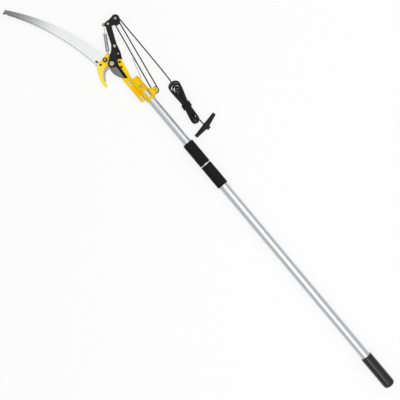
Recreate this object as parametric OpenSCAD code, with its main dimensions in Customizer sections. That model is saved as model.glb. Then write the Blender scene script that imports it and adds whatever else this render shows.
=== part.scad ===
// Tree pruner pole: a telescopic pole with a rope-worked bypass pruner and a curved saw on its head.
// Sizes are millimetres. X runs along the pole to the head, Y towards the saw and Z up from the floor.
// The drawing frame has X = 0 at the foot of the socket and the pole's axis on Y = 0, Z = 0.
// laid() then moves everything so that the origin is on the floor under the middle of the tool.

/* [Pole] */
// Outside diameter of the upper tube
upper_d = 25; // [22:0.5:30]
// Wall of both tubes
tube_wall = 1.2; // [0.8:0.1:1.8]
// Radial play of the upper tube in the lower tube
tube_play = 0.3; // [0.2:0.05:0.5]
// Bare upper tube between the socket and the lock
bare_len = 167; // [120:1:400]
// Length of the lower tube
lower_len = 840; // [800:5:1200]
// Upper tube that is inside the lower tube
upper_tail = 745; // [500:5:780]

/* [Lock] */
// Outside diameter of both lock sleeves
sleeve_d = 34.5; // [33.5:0.5:42]
// Length of the turning collar
collar_len = 80; // [65:1:110]
// Width of the pale ring between the sleeves
ring_w = 3.5; // [2:0.5:6]
// Length of the fixed sleeve
lock_len = 78.5; // [50:0.5:110]

/* [End cap] */
// Outside diameter of the end cap
cap_d = 35.4; // [35.4:0.2:40]
// Length of the end cap
cap_len = 113; // [60:1:150]
// Thickness of the end cap's closed end
cap_end = 8.5; // [5:0.5:12]

/* [Head] */
// Thickness of the head plate
plate_t = 5; // [4:0.5:6]
// Wall of the half socket, clamp and guide ring
shell_t = 2; // [1.5:0.1:2.4]
// Length of the socket on the tube
socket_len = 80; // [76:1:88]
// Distance of the panel's outer edge from the pole's axis
panel_edge = 28; // [26:0.5:32]
// Radius of the pivot bolt's shank
pivot_r = 4; // [3:0.5:5]
// Depth that the hook blade is let into the hook
inlay = 1.5; // [1:0.1:2]
// Height of the hook blade above the hook
proud = 0.5; // [0.3:0.1:0.8]

/* [Lever] */
// Distance from the pivot to the lever pin
lever_len = 116.7; // [112:0.1:122]
// Thickness of the lever bar and rear plate
lever_t = 2.5; // [2:0.1:3]
// Thickness of the cutting blade
blade_t = 2.5; // [2:0.1:3]
// Radius of the lever bolt's shank
bolt_r = 3; // [2:0.5:4]

/* [Saw] */
// Length of the saw past its root
saw_len = 315; // [250:1:380]
// Thickness of the saw
saw_t = 1.5; // [1:0.1:2]
// Width of the saw at its root
saw_root_w = 43; // [38:0.5:46]
// Width of the saw at its tip
saw_tip_w = 15; // [10:0.5:20]
// How far the saw bows from a straight line
saw_bow = 18; // [10:0.5:25]
// Pitch of the saw's teeth
tooth_pitch = 8; // [6:0.5:10]
// Depth of the saw's teeth
tooth_h = 4; // [2:0.5:5]

/* [Pulley block] */
// Distance from the lever pin to the pulley's centre
block_len = 27; // [26:0.5:32]
// Width of the pulley
sheave_w = 11; // [9:0.5:12]
// Thickness of a cheek
cheek_t = 1.8; // [1.2:0.1:2.4]
// Radius of the block pin and lever pin
pin_r = 3; // [2:0.5:3.5]

/* [Spring] */
// Diameter of the spring's wire
wire_d = 1.5; // [1:0.1:1.6]
// Outside diameter of the coil
coil_d = 11; // [9:0.5:12]
// Number of curls
curls = 27; // [20:1:27]
// Pitch of the curls
coil_pitch = 2; // [2:0.05:2.05]

/* [Cord] */
// Diameter of the cord
cord_d = 3.8; // [3.2:0.1:4]
// Height of the hank
hank_h = 24; // [20:1:28]
// Width of the hank at its waist
waist_w = 21.8; // [20:0.2:24]
// Width of the hank's end at the lead
top_w = 40; // [36:1:44]
// Width of the hank's end at the tail
bottom_w = 27; // [25:1:32]

/* [Hidden] */
$fn = 64;
// Clearances: pieces that turn on a pin, pieces that are fixed, and faces that pass each other
running = 0.08;
seated = 0.05;
passing = 0.3;

// Tubes and lock, along X
upper_r = upper_d / 2;
lower_ir = upper_r + tube_play;
lower_r = lower_ir + tube_wall;
collar_x = -bare_len;
mouth_x = collar_x - collar_len - ring_w;
lower_end_x = mouth_x - lower_len;
tail_x = mouth_x - upper_tail;
cap_x = lower_end_x - cap_end;
cap_r = cap_d / 2;
nose_r = lower_r + 1;
nose_len = 22;
collet_len = 28;

// Socket
shell_ir = upper_r + seated;
shell_r = shell_ir + shell_t;
seam = 4;
ring_len = 9;
saddle_len = 30;
seat_z = shell_r + 0.4;
clamp_at = [48.6, 0];

// Heights of the plates, from the pole's axis
plate_top = plate_t / 2;
anvil_top = plate_top + proud;
blade_z = anvil_top + passing;
bar_z = blade_z + blade_t;
bar_top = bar_z + lever_t;
rear_z = -plate_top - passing - lever_t;
saw_z = -plate_top - saw_t;

// Places on the head
pivot = [154.5, 21.5];
arm_end = [145, 0.3];
stop_at = [130, 6.2];
spring_hole = [182.9, 13.4];
saw_root = [190, 42];
saw_angle = 23.7;
saw_bolt = [-16.9, -6];
saw_pin = [-11.4, 12.8];
saw_key = [[0.8, 9.8], [5.3, 9.8]];
saw_key_r = 2.3;
rivet_y = shell_r + 3.3;
rivets = [for (x = [82, 73, 24, 15]) [x, rivet_y]];
rivet_head_r = 3.2;

// Lever, in its own frame: pivot at the origin, X towards the lever pin
lever_angle = -34.2;
lever_bolt = [50.1, -12.6];
eye = [lever_len - 0.5, 13];
eye_r = 4.5;
lever_end_r = 9;
lever_slot = [30, -20.3];
slot_half = 1;
slot_r = 1.4;

// Pulley block, in its own frame: pulley at the origin, X towards the lever pin
block_angle = 85.8;
lever_pin = pivot + rot2([lever_len, 0], lever_angle);
sheave = lever_pin - rot2([block_len, 0], block_angle);
block_z = bar_z + lever_t / 2;
strap_in = lever_t / 2 + passing;
cheek_in = sheave_w / 2 + 0.5;
sheave_rim = 12.5;
cheek_r = 11;
cheek_lobe = [2.5, 6.5];
strap_r = 9.4;
step_x = 14.5;
step_from = -9;
step_to = 11.5;

// Guide pulley on the socket's ear
guide = [14, -27.5];
guide_w = 9;
guide_rim = 10.5;
ear_r = 8.2;
ear_z = guide_w / 2 + 0.5;
ear_t = 2;
guide_pin_r = 2.5;

// Cord round the two pulleys
cord_r = cord_d / 2;
slack = 0.25;
join_gap = 0.45;
guide_cord = 8.5;
sheave_cord = 9;
becket_cord = pin_r + cord_r + slack;
becket_reach = 7.9;
becket_z = block_z - cheek_in - cheek_t - cord_r - 2 * passing;
reach = sheave - guide;
heading = atan2(reach.y, reach.x);
inner_side = heading + 90 + asin((sheave_cord - guide_cord) / norm(reach));
outer_side = heading - 90 - asin((becket_cord - guide_cord) / norm(reach));

// Hank, in its own frame: waist at the origin, X towards the handle
floor_z = -cap_r;
hank_at = [-80, -68.6, floor_z];
hank_angle = 172;
top_run = 70;
top_corner = 14;
bottom_run = 47;

// Tie round the hank's waist, in a groove that leaves a rounded core
tie_turns = 3.5;
tie_step = cord_d + 0.6;
core_low = cord_d + 0.1 + passing;
core_high = hank_h - 0.5;
core_y = waist_w / 2 - 0.4;
core_z = (core_high - core_low) / 2;
core_mid = (core_high + core_low) / 2;
tie_y = core_y + cord_r + passing;
tie_z = core_z + cord_r + passing;
groove_half = tie_turns * tie_step / 2 + cord_r + 2 * passing;

// Lead from the pulley to the hank's end
lead_start = [sheave.x - join_gap, sheave.y - sheave_cord, block_z];
lead_route = [lead_start, [200, -80.2, 4.7], [150, -80.3, 2.6], [100, -80.3, 0.7], [50, -80.1, -0.8],
    from_hank([-top_run - top_corner - 11, -2.6, 16.5]),
    from_hank([-top_run - top_corner - join_gap, -2.4, 16.6])];

// Tail and handle
handle_at = [-162, -74.6, floor_z + 9];
handle_angle = -78.3;
handle_half = 44;
handle_mid_r = 9;
handle_end_r = 5.5;
tail_start = from_hank([bottom_run, 0, 4] + (bottom_w / 2 + cord_r) * [cos(50), sin(50), 0]);
tail_route = [tail_start, [-142.5, -72, floor_z + 4.7], [-147.5, -72.1, floor_z + 7],
    [-151, -72.5, floor_z + 8.6], [-154.5, -73.1, floor_z + 9], [-158, -73.8, floor_z + 9]];

// Spring, in its own frame: plate hole at the origin, X towards the lever's eye
eye_at = pivot + rot2(eye, lever_angle);
spring_run = [eye_at.x - spring_hole.x, eye_at.y - spring_hole.y, block_z];
spring_len = norm(spring_run);
spring_yaw = atan2(spring_run.y, spring_run.x);
spring_pitch = -asin(spring_run.z / spring_len);
hole_r = 2.2;
corner_r = 5.5;
hook_mid = (hole_r + corner_r) / 2;
hook_r = norm([corner_r - hole_r, plate_t]) / 2 + wire_d / 2 + 0.4;
coil_r = (coil_d - wire_d) / 2;
coil_x = hook_mid + hook_r + 1.2;
eye_hole = 2;
eye_mid = spring_len - (eye_hole + eye_r) / 2;
eye_hook = norm([eye_r - eye_hole, lever_t]) / 2 + wire_d / 2 + 0.4;

// Extents of the tool without its free cord
tip_back = saw_root + rot2([saw_len, -saw_tip_w / 2], saw_angle);
tip_teeth = saw_root + rot2([saw_len, saw_tip_w / 2], saw_angle);
middle = [(cap_x + tip_back.x) / 2, (sheave.y - sheave_rim + tip_teeth.y) / 2, floor_z];

// Colours
yellow = "gold";
charcoal = "#333333";
black = "#1c1c1c";
steel = "#9a9a9a";
alloy = "#c9ccd0";
brass = "#cdbb85";

// Functions
function rot2(v, a) = [v.x * cos(a) - v.y * sin(a), v.x * sin(a) + v.y * cos(a)];
function unit(v) = v / norm(v);
function from_hank(p) = let (q = rot2(p, hank_angle)) hank_at + [q.x, q.y, p.z];
function arc(c, r, a0, a1, n) = [for (i = [0:n]) let (a = a0 + (a1 - a0) * i / n) c + r * [cos(a), sin(a)]];
function blend4(a, b, c, d, t) =
    0.5 * (2 * b + (c - a) * t + (2 * a - 5 * b + 4 * c - d) * t * t + (3 * b - a - 3 * c + d) * t * t * t);
function curve(p, n) = concat(
    [for (i = [0:len(p) - 2]) for (k = [0:n - 1])
        blend4(p[max(i - 1, 0)], p[i], p[i + 1], p[min(i + 2, len(p) - 1)], k / n)],
    [p[len(p) - 1]]);
function ease(u) = (1 - cos(180 * min(max(u, 0), 1))) / 2;
function least_gap(p, d, skip) =
    min([for (i = [0:len(p) - 1]) for (j = [i + skip:1:len(p) - 1]) norm(p[i] - p[j])]) - d;

function hank_side(x) = x < 0
    ? waist_w / 2 + (top_w - waist_w) / 2 * ease(-x / top_run)
    : waist_w / 2 + (bottom_w - waist_w) / 2 * ease(x / bottom_run);
function squircle(a) = let (c = cos(a), s = sin(a)) [sign(c) * sqrt(abs(c)), sign(s) * sqrt(abs(s))];
function tie_point(t) = let (q = squircle(360 * t))
    [(t - tie_turns / 2) * tie_step, tie_y * q.x, core_mid + tie_z * q.y];
function coil_point(i) = [coil_x + coil_pitch * i / 8, coil_r * cos(45 * i + 90), coil_r * sin(45 * i + 90)];
function ring_point(x, r, a) = [x + r * cos(a), 0, r * sin(a)];
function saw_line(x, root, tip) = let (u = x / saw_len) root + (tip - root) * u - 4 * saw_bow * u * (1 - u);

// Paths of the wound pieces
tie_path = [for (i = [0:24 * tie_turns]) tie_point(i / 24)];
coil_path = concat(
    [for (a = [60:30:330]) ring_point(hook_mid, hook_r, a)],
    [ring_point(hook_mid, hook_r, 360), [coil_x - 0.5, 0, coil_r * 0.6]],
    [for (i = [0:8 * curls]) coil_point(i)]);
coil_end = coil_x + coil_pitch * curls;
hook_path = concat(
    [[coil_end + 2.4, 0, coil_r * 0.75], [coil_end + 4.5, 0, coil_r * 0.3], [coil_end + 7, 0, 0],
        [eye_mid - eye_hook - 1.5, 0, 0]],
    [for (a = [205:25:480]) ring_point(eye_mid, eye_hook, a)]);
echo(tie_least_gap = least_gap(tie_path, cord_d, 12));
echo(spring_least_gap = least_gap(coil_path, wire_d, 6));

// Hank outline: a wide end with round corners, the drawn-in sides and a round end
hank_stations = [10 - top_run:10:bottom_run - 7];
hank_outline = concat(
    arc([-top_run, top_w / 2 - top_corner], top_corner, 90, 180, 8),
    arc([-top_run, top_corner - top_w / 2], top_corner, 180, 270, 8),
    [for (x = hank_stations) [x, -hank_side(x)]],
    arc([bottom_run, 0], bottom_w / 2, -90, 90, 16),
    [for (x = [bottom_run - 7:-10:10 - top_run]) [x, hank_side(x)]]);

// Head plate outline, from the socket round the arm, the spring corner, the hook and the panel
hook_inner = curve([[126, 69.2], [138.3, 61.2], [147.4, 51], [150, 36]], 8);
hook_bed = curve([[160, 36], [157, 50], [147.2, 61], [131.5, 71.6]], 8);
head_outline = concat(
    [[ring_len + 1, shell_ir + shell_t / 2], [socket_len + 1, shell_ir + shell_t / 2], [socket_len + 1, 4.5]],
    [[90.4, 3.1]],
    arc(arm_end, 8.5, -102, 15, 10),
    [[172, 4.3]],
    arc(spring_hole, corner_r, -95, 10, 8),
    curve([[187.6, 18.5], [185.9, 28], [184.2, 45], [180, 57], [170, 66.5], [152, 74.6], [132, 81.2]], 6),
    arc([117.9, 77.4], 4.6, 80, 265, 10),
    hook_inner,
    [[146, 29.5], [105, panel_edge], [15, panel_edge], [ring_len + 1, panel_edge - 5]]);

// Lever outlines in the lever's frame
bar_outline = concat(
    [[-10, -14.5], [15, -16.5], [35, -19]],
    arc(lever_bolt, 8.4, -100, -70, 4),
    [[72, -16.4]],
    arc([lever_len, 0], lever_end_r, -80, 80, 12),
    [[100, 6.4], [74, 0.8]],
    curve([[56.5, -3], [38, -1], [24, 5]], 6),
    arc([0, 0], 12.2, 50, 165, 10));
rear_outline = concat(
    [[-6, -9], [4, -25], [14.6, -30.3], [34, -27.6]],
    arc(lever_bolt, 9, -60, 60, 10),
    [[30, 2]],
    arc([0, 0], 10, 60, 200, 12));

// Cutting blade in the lever's frame: its edge, and the line where the grinding starts
blade_edge = curve([[-12.5, 9], [-27.6, 0.4], [-37, -10.9], [-44.2, -24], [-45.6, -41.8]], 5);
blade_grind = curve([[-7.5, 3], [-21, -5.5], [-29, -14.5], [-36, -26], [-44.4, -40.6]], 5);
blade_outline = concat(
    [for (i = [len(blade_grind) - 1:-1:0]) blade_grind[i]],
    arc([0, 0], 11.5, 140, 55, 8),
    [[24, 4], [40, -4]],
    arc(lever_bolt, 7.5, 80, -80, 10),
    [[15, -16], [-6, -18.9], [-21.7, -28.4], [-43.2, -40.5]]);

// Saw outline in the saw's frame: root at the origin, X towards the tip, teeth on +Y
teeth = floor((saw_len - 4) / tooth_pitch);
function gullet(x) = [x, saw_line(x, saw_root_w / 2, saw_tip_w / 2) - tooth_h];
function tooth(x) = [x, saw_line(x, saw_root_w / 2, saw_tip_w / 2)];
saw_outline = concat(
    arc(saw_pin, 8, 170, 95, 6),
    [for (i = [0:teeth - 1]) each [tooth(i * tooth_pitch + 2), gullet((i + 1) * tooth_pitch)]],
    [[saw_len, saw_tip_w / 2]],
    [for (i = [20:-1:0]) [saw_len * i / 20, saw_line(saw_len * i / 20, -saw_root_w / 2, -saw_tip_w / 2)]],
    arc(saw_bolt, 8, -75, -190, 8));

// Shared shapes
module laid() {
    translate(-middle) children();
}

module along_x(x0, x1, r) {
    translate([x0, 0, 0]) rotate([0, 90, 0]) cylinder(h = x1 - x0, r = r);
}

module pipe(x0, x1, r_in, r_out) {
    difference() {
        along_x(x0, x1, r_out);
        along_x(x0 - 1, x1 + 1, r_in);
    }
}

module rod(at, z0, z1, r) {
    translate([at.x, at.y, z0]) cylinder(h = z1 - z0, r = r);
}

module hex(at, z0, z1, across) {
    translate([at.x, at.y, z0]) cylinder(h = z1 - z0, d = across / cos(30), $fn = 6);
}

module slab(outline, z0, z1) {
    translate([0, 0, z0]) linear_extrude(z1 - z0) polygon(outline);
}

module on_lever() {
    translate([pivot.x, pivot.y, 0]) rotate([0, 0, lever_angle]) children();
}

module on_block() {
    translate([sheave.x, sheave.y, block_z]) rotate([0, 0, block_angle]) children();
}

module on_saw() {
    translate([saw_root.x, saw_root.y, 0]) rotate([0, 0, saw_angle]) children();
}

module on_spring() {
    translate([spring_hole.x, spring_hole.y, 0]) rotate([0, spring_pitch, spring_yaw]) children();
}

module on_hank() {
    translate(hank_at) rotate([0, 0, hank_angle]) children();
}

module on_handle() {
    translate(handle_at) rotate([0, 0, handle_angle]) children();
}

module tube(path, r, sides) {
    n = len(path);
    dirs = [for (i = [0:n - 1]) unit(path[min(i + 1, n - 1)] - path[max(i - 1, 0)])];
    start = abs(dirs[0].z) < 0.8 ? [0, 0, 1] : [0, 1, 0];
    sideways = [for (i = 0, u = unit(cross(start, dirs[0])); i < n;
        i = i + 1, u = i < n ? unit(u - (u * dirs[i]) * dirs[i]) : u) u];
    rings = [for (i = [0:n - 1]) for (k = [0:sides - 1])
        let (a = 360 * k / sides) path[i] + r * (cos(a) * sideways[i] + sin(a) * cross(dirs[i], sideways[i]))];
    walls = [for (i = [0:n - 2]) for (k = [0:sides - 1])
        let (a = i * sides + k, b = i * sides + (k + 1) % sides)
        each [[a, a + sides, b], [b, a + sides, b + sides]]];
    first = [for (k = [1:sides - 2]) [0, k, k + 1]];
    last = [for (k = [1:sides - 2]) [(n - 1) * sides, (n - 1) * sides + k + 1, (n - 1) * sides + k]];
    polyhedron(points = rings, faces = concat(walls, first, last));
}

module spindle(stations, sides) {
    n = len(stations);
    rings = [for (s = stations) for (k = [0:sides - 1])
        [s.x, s.y + s.z * cos(360 * k / sides), s.z * sin(360 * k / sides)]];
    walls = [for (i = [0:n - 2]) for (k = [0:sides - 1])
        let (a = i * sides + k, b = i * sides + (k + 1) % sides) [a, a + sides, b + sides, b]];
    first = [for (k = [0:sides - 1]) k];
    last = [for (k = [sides - 1:-1:0]) (n - 1) * sides + k];
    polyhedron(points = rings, faces = concat(walls, [first, last]));
}

module ground_edge(edge, grind, z0, z1) {
    n = len(edge);
    inner = [for (i = [0:n - 1]) grind[i] + 0.15 * (grind[i] - edge[i])];
    points = [for (i = [0:n - 1]) each [
        [edge[i].x, edge[i].y, z0], [edge[i].x, edge[i].y, z0 + 0.4], [grind[i].x, grind[i].y, z1],
        [inner[i].x, inner[i].y, z1], [inner[i].x, inner[i].y, z0]]];
    walls = [for (i = [0:n - 2]) for (k = [0:4]) let (a = 5 * i + k, b = 5 * i + (k + 1) % 5)
        each [[a, b, a + 5], [b, b + 5, a + 5]]];
    first = [for (k = [1:3]) [0, k + 1, k]];
    last = [for (k = [1:3]) [5 * n - 5, 5 * n - 5 + k, 5 * n - 4 + k]];
    polyhedron(points = points, faces = concat(walls, first, last));
}

// Pole
module lower_tube() {
    color(alloy) pipe(lower_end_x, mouth_x, lower_ir, lower_r);
}

module upper_tube() {
    color(alloy) difference() {
        pipe(tail_x, socket_len, upper_r - tube_wall, upper_r);
        rod(clamp_at, -upper_d, upper_d, bolt_r + seated);
    }
}

module end_cap() {
    color(black) translate([cap_x, 0, 0]) rotate([0, 90, 0]) rotate_extrude() polygon(concat(
        [[0, 0], [cap_r - 10, 0]],
        arc([cap_r - 10, 10], 10, -80, 0, 8),
        [[cap_r, cap_len - 2], [cap_r - 2, cap_len], [lower_r + seated, cap_len],
            [lower_r + seated, cap_end], [0, cap_end]]));
}

module lock_body() {
    color(black) difference() {
        union() {
            along_x(mouth_x - lock_len, mouth_x, sleeve_d / 2);
            along_x(mouth_x - 1, mouth_x + nose_len, nose_r);
        }
        along_x(mouth_x - lock_len - 1, mouth_x, lower_r + seated);
        along_x(mouth_x - 2, mouth_x + nose_len + 1, upper_r + 0.5);
    }
}

module lock_ring() {
    color(alloy) pipe(mouth_x, mouth_x + ring_w - passing, nose_r + seated, sleeve_d / 2 - 0.5);
}

module lock_collet() {
    color(alloy) difference() {
        translate([mouth_x + nose_len, 0, 0]) rotate([0, 90, 0])
            cylinder(h = collet_len, r1 = nose_r, r2 = nose_r - 1);
        along_x(mouth_x, collar_x, upper_r + running);
        for (a = [0:90:270]) rotate([a, 0, 0])
            translate([mouth_x + nose_len + 6, -0.75, 0]) cube([collet_len, 1.5, sleeve_d]);
    }
}

module lock_collar() {
    color(black) difference() {
        along_x(mouth_x + ring_w, collar_x, sleeve_d / 2);
        along_x(mouth_x, collar_x + 1, upper_r + 0.4);
        along_x(mouth_x, mouth_x + nose_len + collet_len + 2, nose_r + 0.4);
    }
}

module slide_bush() {
    color(black) difference() {
        union() {
            along_x(tail_x - 8, tail_x, lower_ir - 0.1);
            along_x(tail_x - 1, tail_x + 20, upper_r - tube_wall - seated);
        }
        along_x(tail_x - 9, tail_x + 21, upper_r - tube_wall - 2.5);
    }
}

module tube_plug() {
    color(black) along_x(socket_len - 12, socket_len, upper_r - tube_wall - seated);
}

// Head
module head_plate() {
    color(yellow) difference() {
        union() {
            slab(head_outline, -plate_top, plate_top);
            rod(pivot, plate_top - 1, anvil_top, 11);
            intersection() {
                pipe(ring_len + 1, socket_len + 3, shell_ir, shell_r);
                translate([0, seam + 0.3, -30]) cube([120, 40, 60]);
            }
        }
        rod(pivot, -10, 10, pivot_r + seated);
        rod(spring_hole, -10, 10, hole_r);
        rod(arm_end, -10, 10, 2.5 + seated);
        rod(stop_at, -10, 10, 2 + seated);
        on_saw() rod(saw_bolt, -10, 10, bolt_r + seated);
        on_saw() rod(saw_pin, -10, 10, 2.5 + seated);
        for (p = rivets) rod(p, -10, 10, 2 + seated);
        slab(concat(hook_inner, hook_bed), plate_top - inlay, plate_top + 1);
    }
}

module hook_blade() {
    color(steel) slab(concat(hook_inner, hook_bed), plate_top - inlay, anvil_top);
}

module pole_clamp() {
    color(yellow) difference() {
        union() {
            intersection() {
                pipe(saddle_len + 0.5, socket_len, shell_ir, shell_r);
                translate([0, -40, -30]) cube([120, 40 + seam, 60]);
            }
            difference() {
                rod(clamp_at, -seat_z, seat_z, seam);
                along_x(0, socket_len, shell_ir);
            }
        }
        rod(clamp_at, -30, 30, bolt_r + seated);
        translate([socket_len + 4, -shell_r - 4, 0]) rotate([0, 0, 45]) cube([14, 14, 60], center = true);
    }
}

module clamp_bolt() {
    color(steel) {
        rod(clamp_at, floor_z + 0.3, seat_z + 1, bolt_r);
        rod(clamp_at, seat_z, seat_z + 2.4, 3.9);
    }
}

module clamp_nut() {
    color(steel) difference() {
        hex(clamp_at, floor_z + 0.1, -seat_z, 9);
        rod(clamp_at, -30, 0, bolt_r + seated);
    }
}

module frame_rivets() {
    color(alloy) for (p = rivets) {
        rod(p, -plate_top - 1.2, plate_top + 1.5, 2);
        rod(p, plate_top, plate_top + 1.5, rivet_head_r);
        rod(p, -plate_top - 1.2, -plate_top, rivet_head_r);
    }
}

module arm_rivet() {
    color(alloy) {
        rod(arm_end, -plate_top, plate_top + 0.5, 2.5);
        rod(arm_end, plate_top, plate_top + proud, 3.6);
    }
}

module blade_stop() {
    color(alloy) {
        rod(stop_at, -plate_top, plate_top + 3, 2);
        rod(stop_at, plate_top, plate_top + 3, 3);
    }
}

module pivot_bolt() {
    color(brass) difference() {
        union() {
            rod(pivot, rear_z - 6, bar_top + 1, pivot_r);
            rod(pivot, bar_top + passing, bar_top + 3, 6.6);
        }
        translate([pivot.x, pivot.y, bar_top + 3]) rotate([0, 0, 20]) cube([20, 1.6, 2.4], center = true);
    }
}

module pivot_nut() {
    color(steel) difference() {
        hex(pivot, rear_z - 5, rear_z - passing, 13);
        rod(pivot, rear_z - 10, rear_z, pivot_r + seated);
    }
}

module saw_blade() {
    color(steel) on_saw() difference() {
        slab(saw_outline, saw_z, -plate_top);
        rod(saw_bolt, -10, 10, bolt_r + seated);
        rod(saw_pin, -10, 10, 2.5 + seated);
        hull() for (p = saw_key) rod(p, -10, 10, saw_key_r + seated);
    }
}

module saw_fixing() {
    color(steel) on_saw() {
        rod(saw_bolt, saw_z - 8, plate_top + 2, bolt_r);
        rod(saw_bolt, plate_top + 1.2, plate_top + 3.2, 3.9);
        rod(saw_bolt, plate_top + 3.2, plate_top + 4, 2.6);
    }
}

module saw_washer() {
    color(black) on_saw() difference() {
        rod(saw_bolt, plate_top, plate_top + 1.2, 7);
        rod(saw_bolt, 0, 10, bolt_r + seated);
    }
}

module saw_wing_nut() {
    drop = floor_z - saw_z;
    wing = [[4, -0.5], [4, -7], [8, drop + 1], [10, drop + 0.1], [12.5, drop + 2], [9, -2]];
    color(alloy) on_saw() translate([saw_bolt.x, saw_bolt.y, saw_z]) difference() {
        union() {
            translate([0, 0, -7.5]) cylinder(h = 7.5, r1 = 4.6, r2 = 5.6);
            for (a = [0, 180]) rotate([0, 0, a - saw_angle]) rotate([90, 0, 0])
                linear_extrude(2.4, center = true) polygon(wing);
        }
        translate([0, 0, -20]) cylinder(h = 30, r = bolt_r + seated);
    }
}

module saw_stud() {
    color(black) on_saw() {
        rod(saw_pin, saw_z - 1.5, plate_top + 0.8, 2.5);
        rod(saw_pin, plate_top, plate_top + 0.8, 3.2);
        rod(saw_pin, saw_z - 1.5, saw_z, 3.6);
    }
}

module saw_key() {
    color(charcoal) on_saw() hull() for (p = saw_key) rod(p, saw_z - 1, plate_top + 0.5, saw_key_r);
}

module guide_bracket() {
    base = shell_ir - 0.1;
    color(yellow) difference() {
        union() {
            pipe(0, ring_len, shell_ir, shell_r);
            intersection() {
                pipe(ring_len - 1, saddle_len, shell_ir, shell_r);
                translate([0, -40, -30]) cube([60, 30, 60]);
            }
            for (z = [ear_z, -ear_z - ear_t]) translate([0, 0, z]) linear_extrude(ear_t) hull() {
                translate(guide) circle(ear_r);
                translate([4.7, -base - 3]) square([saddle_len - 4.7, 3]);
            }
        }
        along_x(-1, 60, shell_ir);
        rod(guide, -20, 20, guide_pin_r + seated);
    }
}

module grooved(at, z, width, rim, groove, bore) {
    translate([at.x, at.y, z]) rotate_extrude() polygon([
        [bore, -width / 2], [rim, -width / 2], [rim, -width / 2 + 1.2], [groove, -cord_r - 0.1],
        [groove, cord_r + 0.1], [rim, width / 2 - 1.2], [rim, width / 2], [bore, width / 2]]);
}

module guide_pulley() {
    color(black) grooved(guide, 0, guide_w, guide_rim, guide_cord - cord_r - slack, guide_pin_r + running);
}

module guide_pin() {
    color(alloy) {
        rod(guide, -ear_z - ear_t - 1.6, ear_z + ear_t + 1.6, guide_pin_r);
        rod(guide, ear_z + ear_t, ear_z + ear_t + 1.6, 3.8);
        rod(guide, -ear_z - ear_t - 1.6, -ear_z - ear_t, 4.6);
    }
}

module keeper_wire() {
    color(steel) tube(curve([[69.6, -shell_r - seated, -1.5], [70, -18, -1.5], [74, -20.6, -1.5],
        [95, -25, -1.5], [130, -36.5, -1.5]], 4), 1, 8);
}

// Lever
module lever_bar() {
    color(charcoal) on_lever() difference() {
        union() {
            slab(bar_outline, bar_z, bar_top);
            translate([0, 0, bar_z]) linear_extrude(lever_t) hull() {
                translate([lever_len, 0]) circle(5);
                translate(eye) circle(eye_r);
            }
        }
        rod([0, 0], 0, 30, pivot_r + running);
        rod(lever_bolt, 0, 30, bolt_r + seated);
        rod([lever_len, 0], 0, 30, pin_r + seated);
        rod(eye, 0, 30, eye_hole);
    }
}

module lever_rear() {
    color(black) on_lever() difference() {
        slab(rear_outline, rear_z, rear_z + lever_t);
        rod([0, 0], -30, 0, pivot_r + running);
        rod(lever_bolt, -30, 0, bolt_r + seated);
        hull() for (x = [-slot_half, slot_half]) rod([lever_slot.x + x, lever_slot.y], -30, 0, slot_r);
    }
}

module cutting_blade() {
    color(steel) on_lever() difference() {
        union() {
            slab(blade_outline, blade_z, bar_z);
            ground_edge(blade_edge, blade_grind, blade_z, bar_z);
        }
        rod([0, 0], 0, 30, pivot_r + running);
        rod(lever_bolt, 0, 30, bolt_r + seated);
    }
}

module lever_bolt() {
    color(steel) on_lever() {
        rod(lever_bolt, rear_z - 5, bar_top + 1, bolt_r);
        hex(lever_bolt, bar_top, bar_top + 3.4, 8.5);
    }
}

module lever_spacer() {
    color(steel) on_lever() difference() {
        rod(lever_bolt, rear_z + lever_t, blade_z, 5);
        rod(lever_bolt, -30, 30, bolt_r + seated);
    }
}

module lever_nut() {
    color(steel) on_lever() difference() {
        hex(lever_bolt, rear_z - 4, rear_z, 10);
        rod(lever_bolt, -30, 0, bolt_r + seated);
    }
}

module lever_pin() {
    head = strap_in + cheek_t + passing;
    color(brass) translate([lever_pin.x, lever_pin.y, block_z]) {
        rod([0, 0], -head - 1.5, head + 1.5, pin_r);
        rod([0, 0], head, head + 1.5, 3.9);
        rod([0, 0], -head - 1.5, -head, 4.6);
    }
}

// Pulley block
module cheek() {
    step = [step_x - cheek_t, step_from];
    step_w = step_to - step_from;
    difference() {
        union() {
            translate([0, 0, strap_in]) linear_extrude(cheek_t) hull() {
                translate([block_len, 0]) circle(strap_r);
                translate(step) square([cheek_t, step_w]);
            }
            translate([step.x, step.y, strap_in]) cube([cheek_t, step_w, cheek_in + cheek_t - strap_in]);
            translate([0, 0, cheek_in]) linear_extrude(cheek_t) hull() {
                circle(cheek_r);
                translate(cheek_lobe) circle(cheek_r);
                translate(step) square([cheek_t, step_w]);
            }
        }
        rod([block_len, 0], 0, 30, pin_r + running);
        rod([0, 0], 0, 30, pin_r + seated);
    }
}

module front_cheek() {
    color(charcoal) on_block() cheek();
}

module rear_cheek() {
    color(charcoal) on_block() mirror([0, 0, 1]) cheek();
}

module block_pin() {
    color(steel) {
        rod(sheave, becket_z - cord_r - 1.8, block_z + cheek_in + cheek_t + 2, pin_r);
        rod(sheave, block_z + cheek_in + cheek_t, block_z + cheek_in + cheek_t + 2, 4);
        rod(sheave, becket_z - cord_r - 1.8, becket_z - cord_r - 0.2, 5.6);
    }
}

module block_pulley() {
    color(black) grooved(sheave, block_z, sheave_w, sheave_rim, sheave_cord - cord_r - slack, pin_r + running);
}

// Return spring
module spring_coil() {
    color(steel) on_spring() tube(coil_path, wire_d / 2, 6);
}

module spring_hook() {
    color(steel) on_spring() tube(hook_path, wire_d / 2, 6);
}

// Cord
module becket_loop() {
    color(black) translate([sheave.x, sheave.y, becket_z]) rotate_extrude()
        translate([becket_cord, 0]) circle(cord_r, $fn = 24);
}

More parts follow.
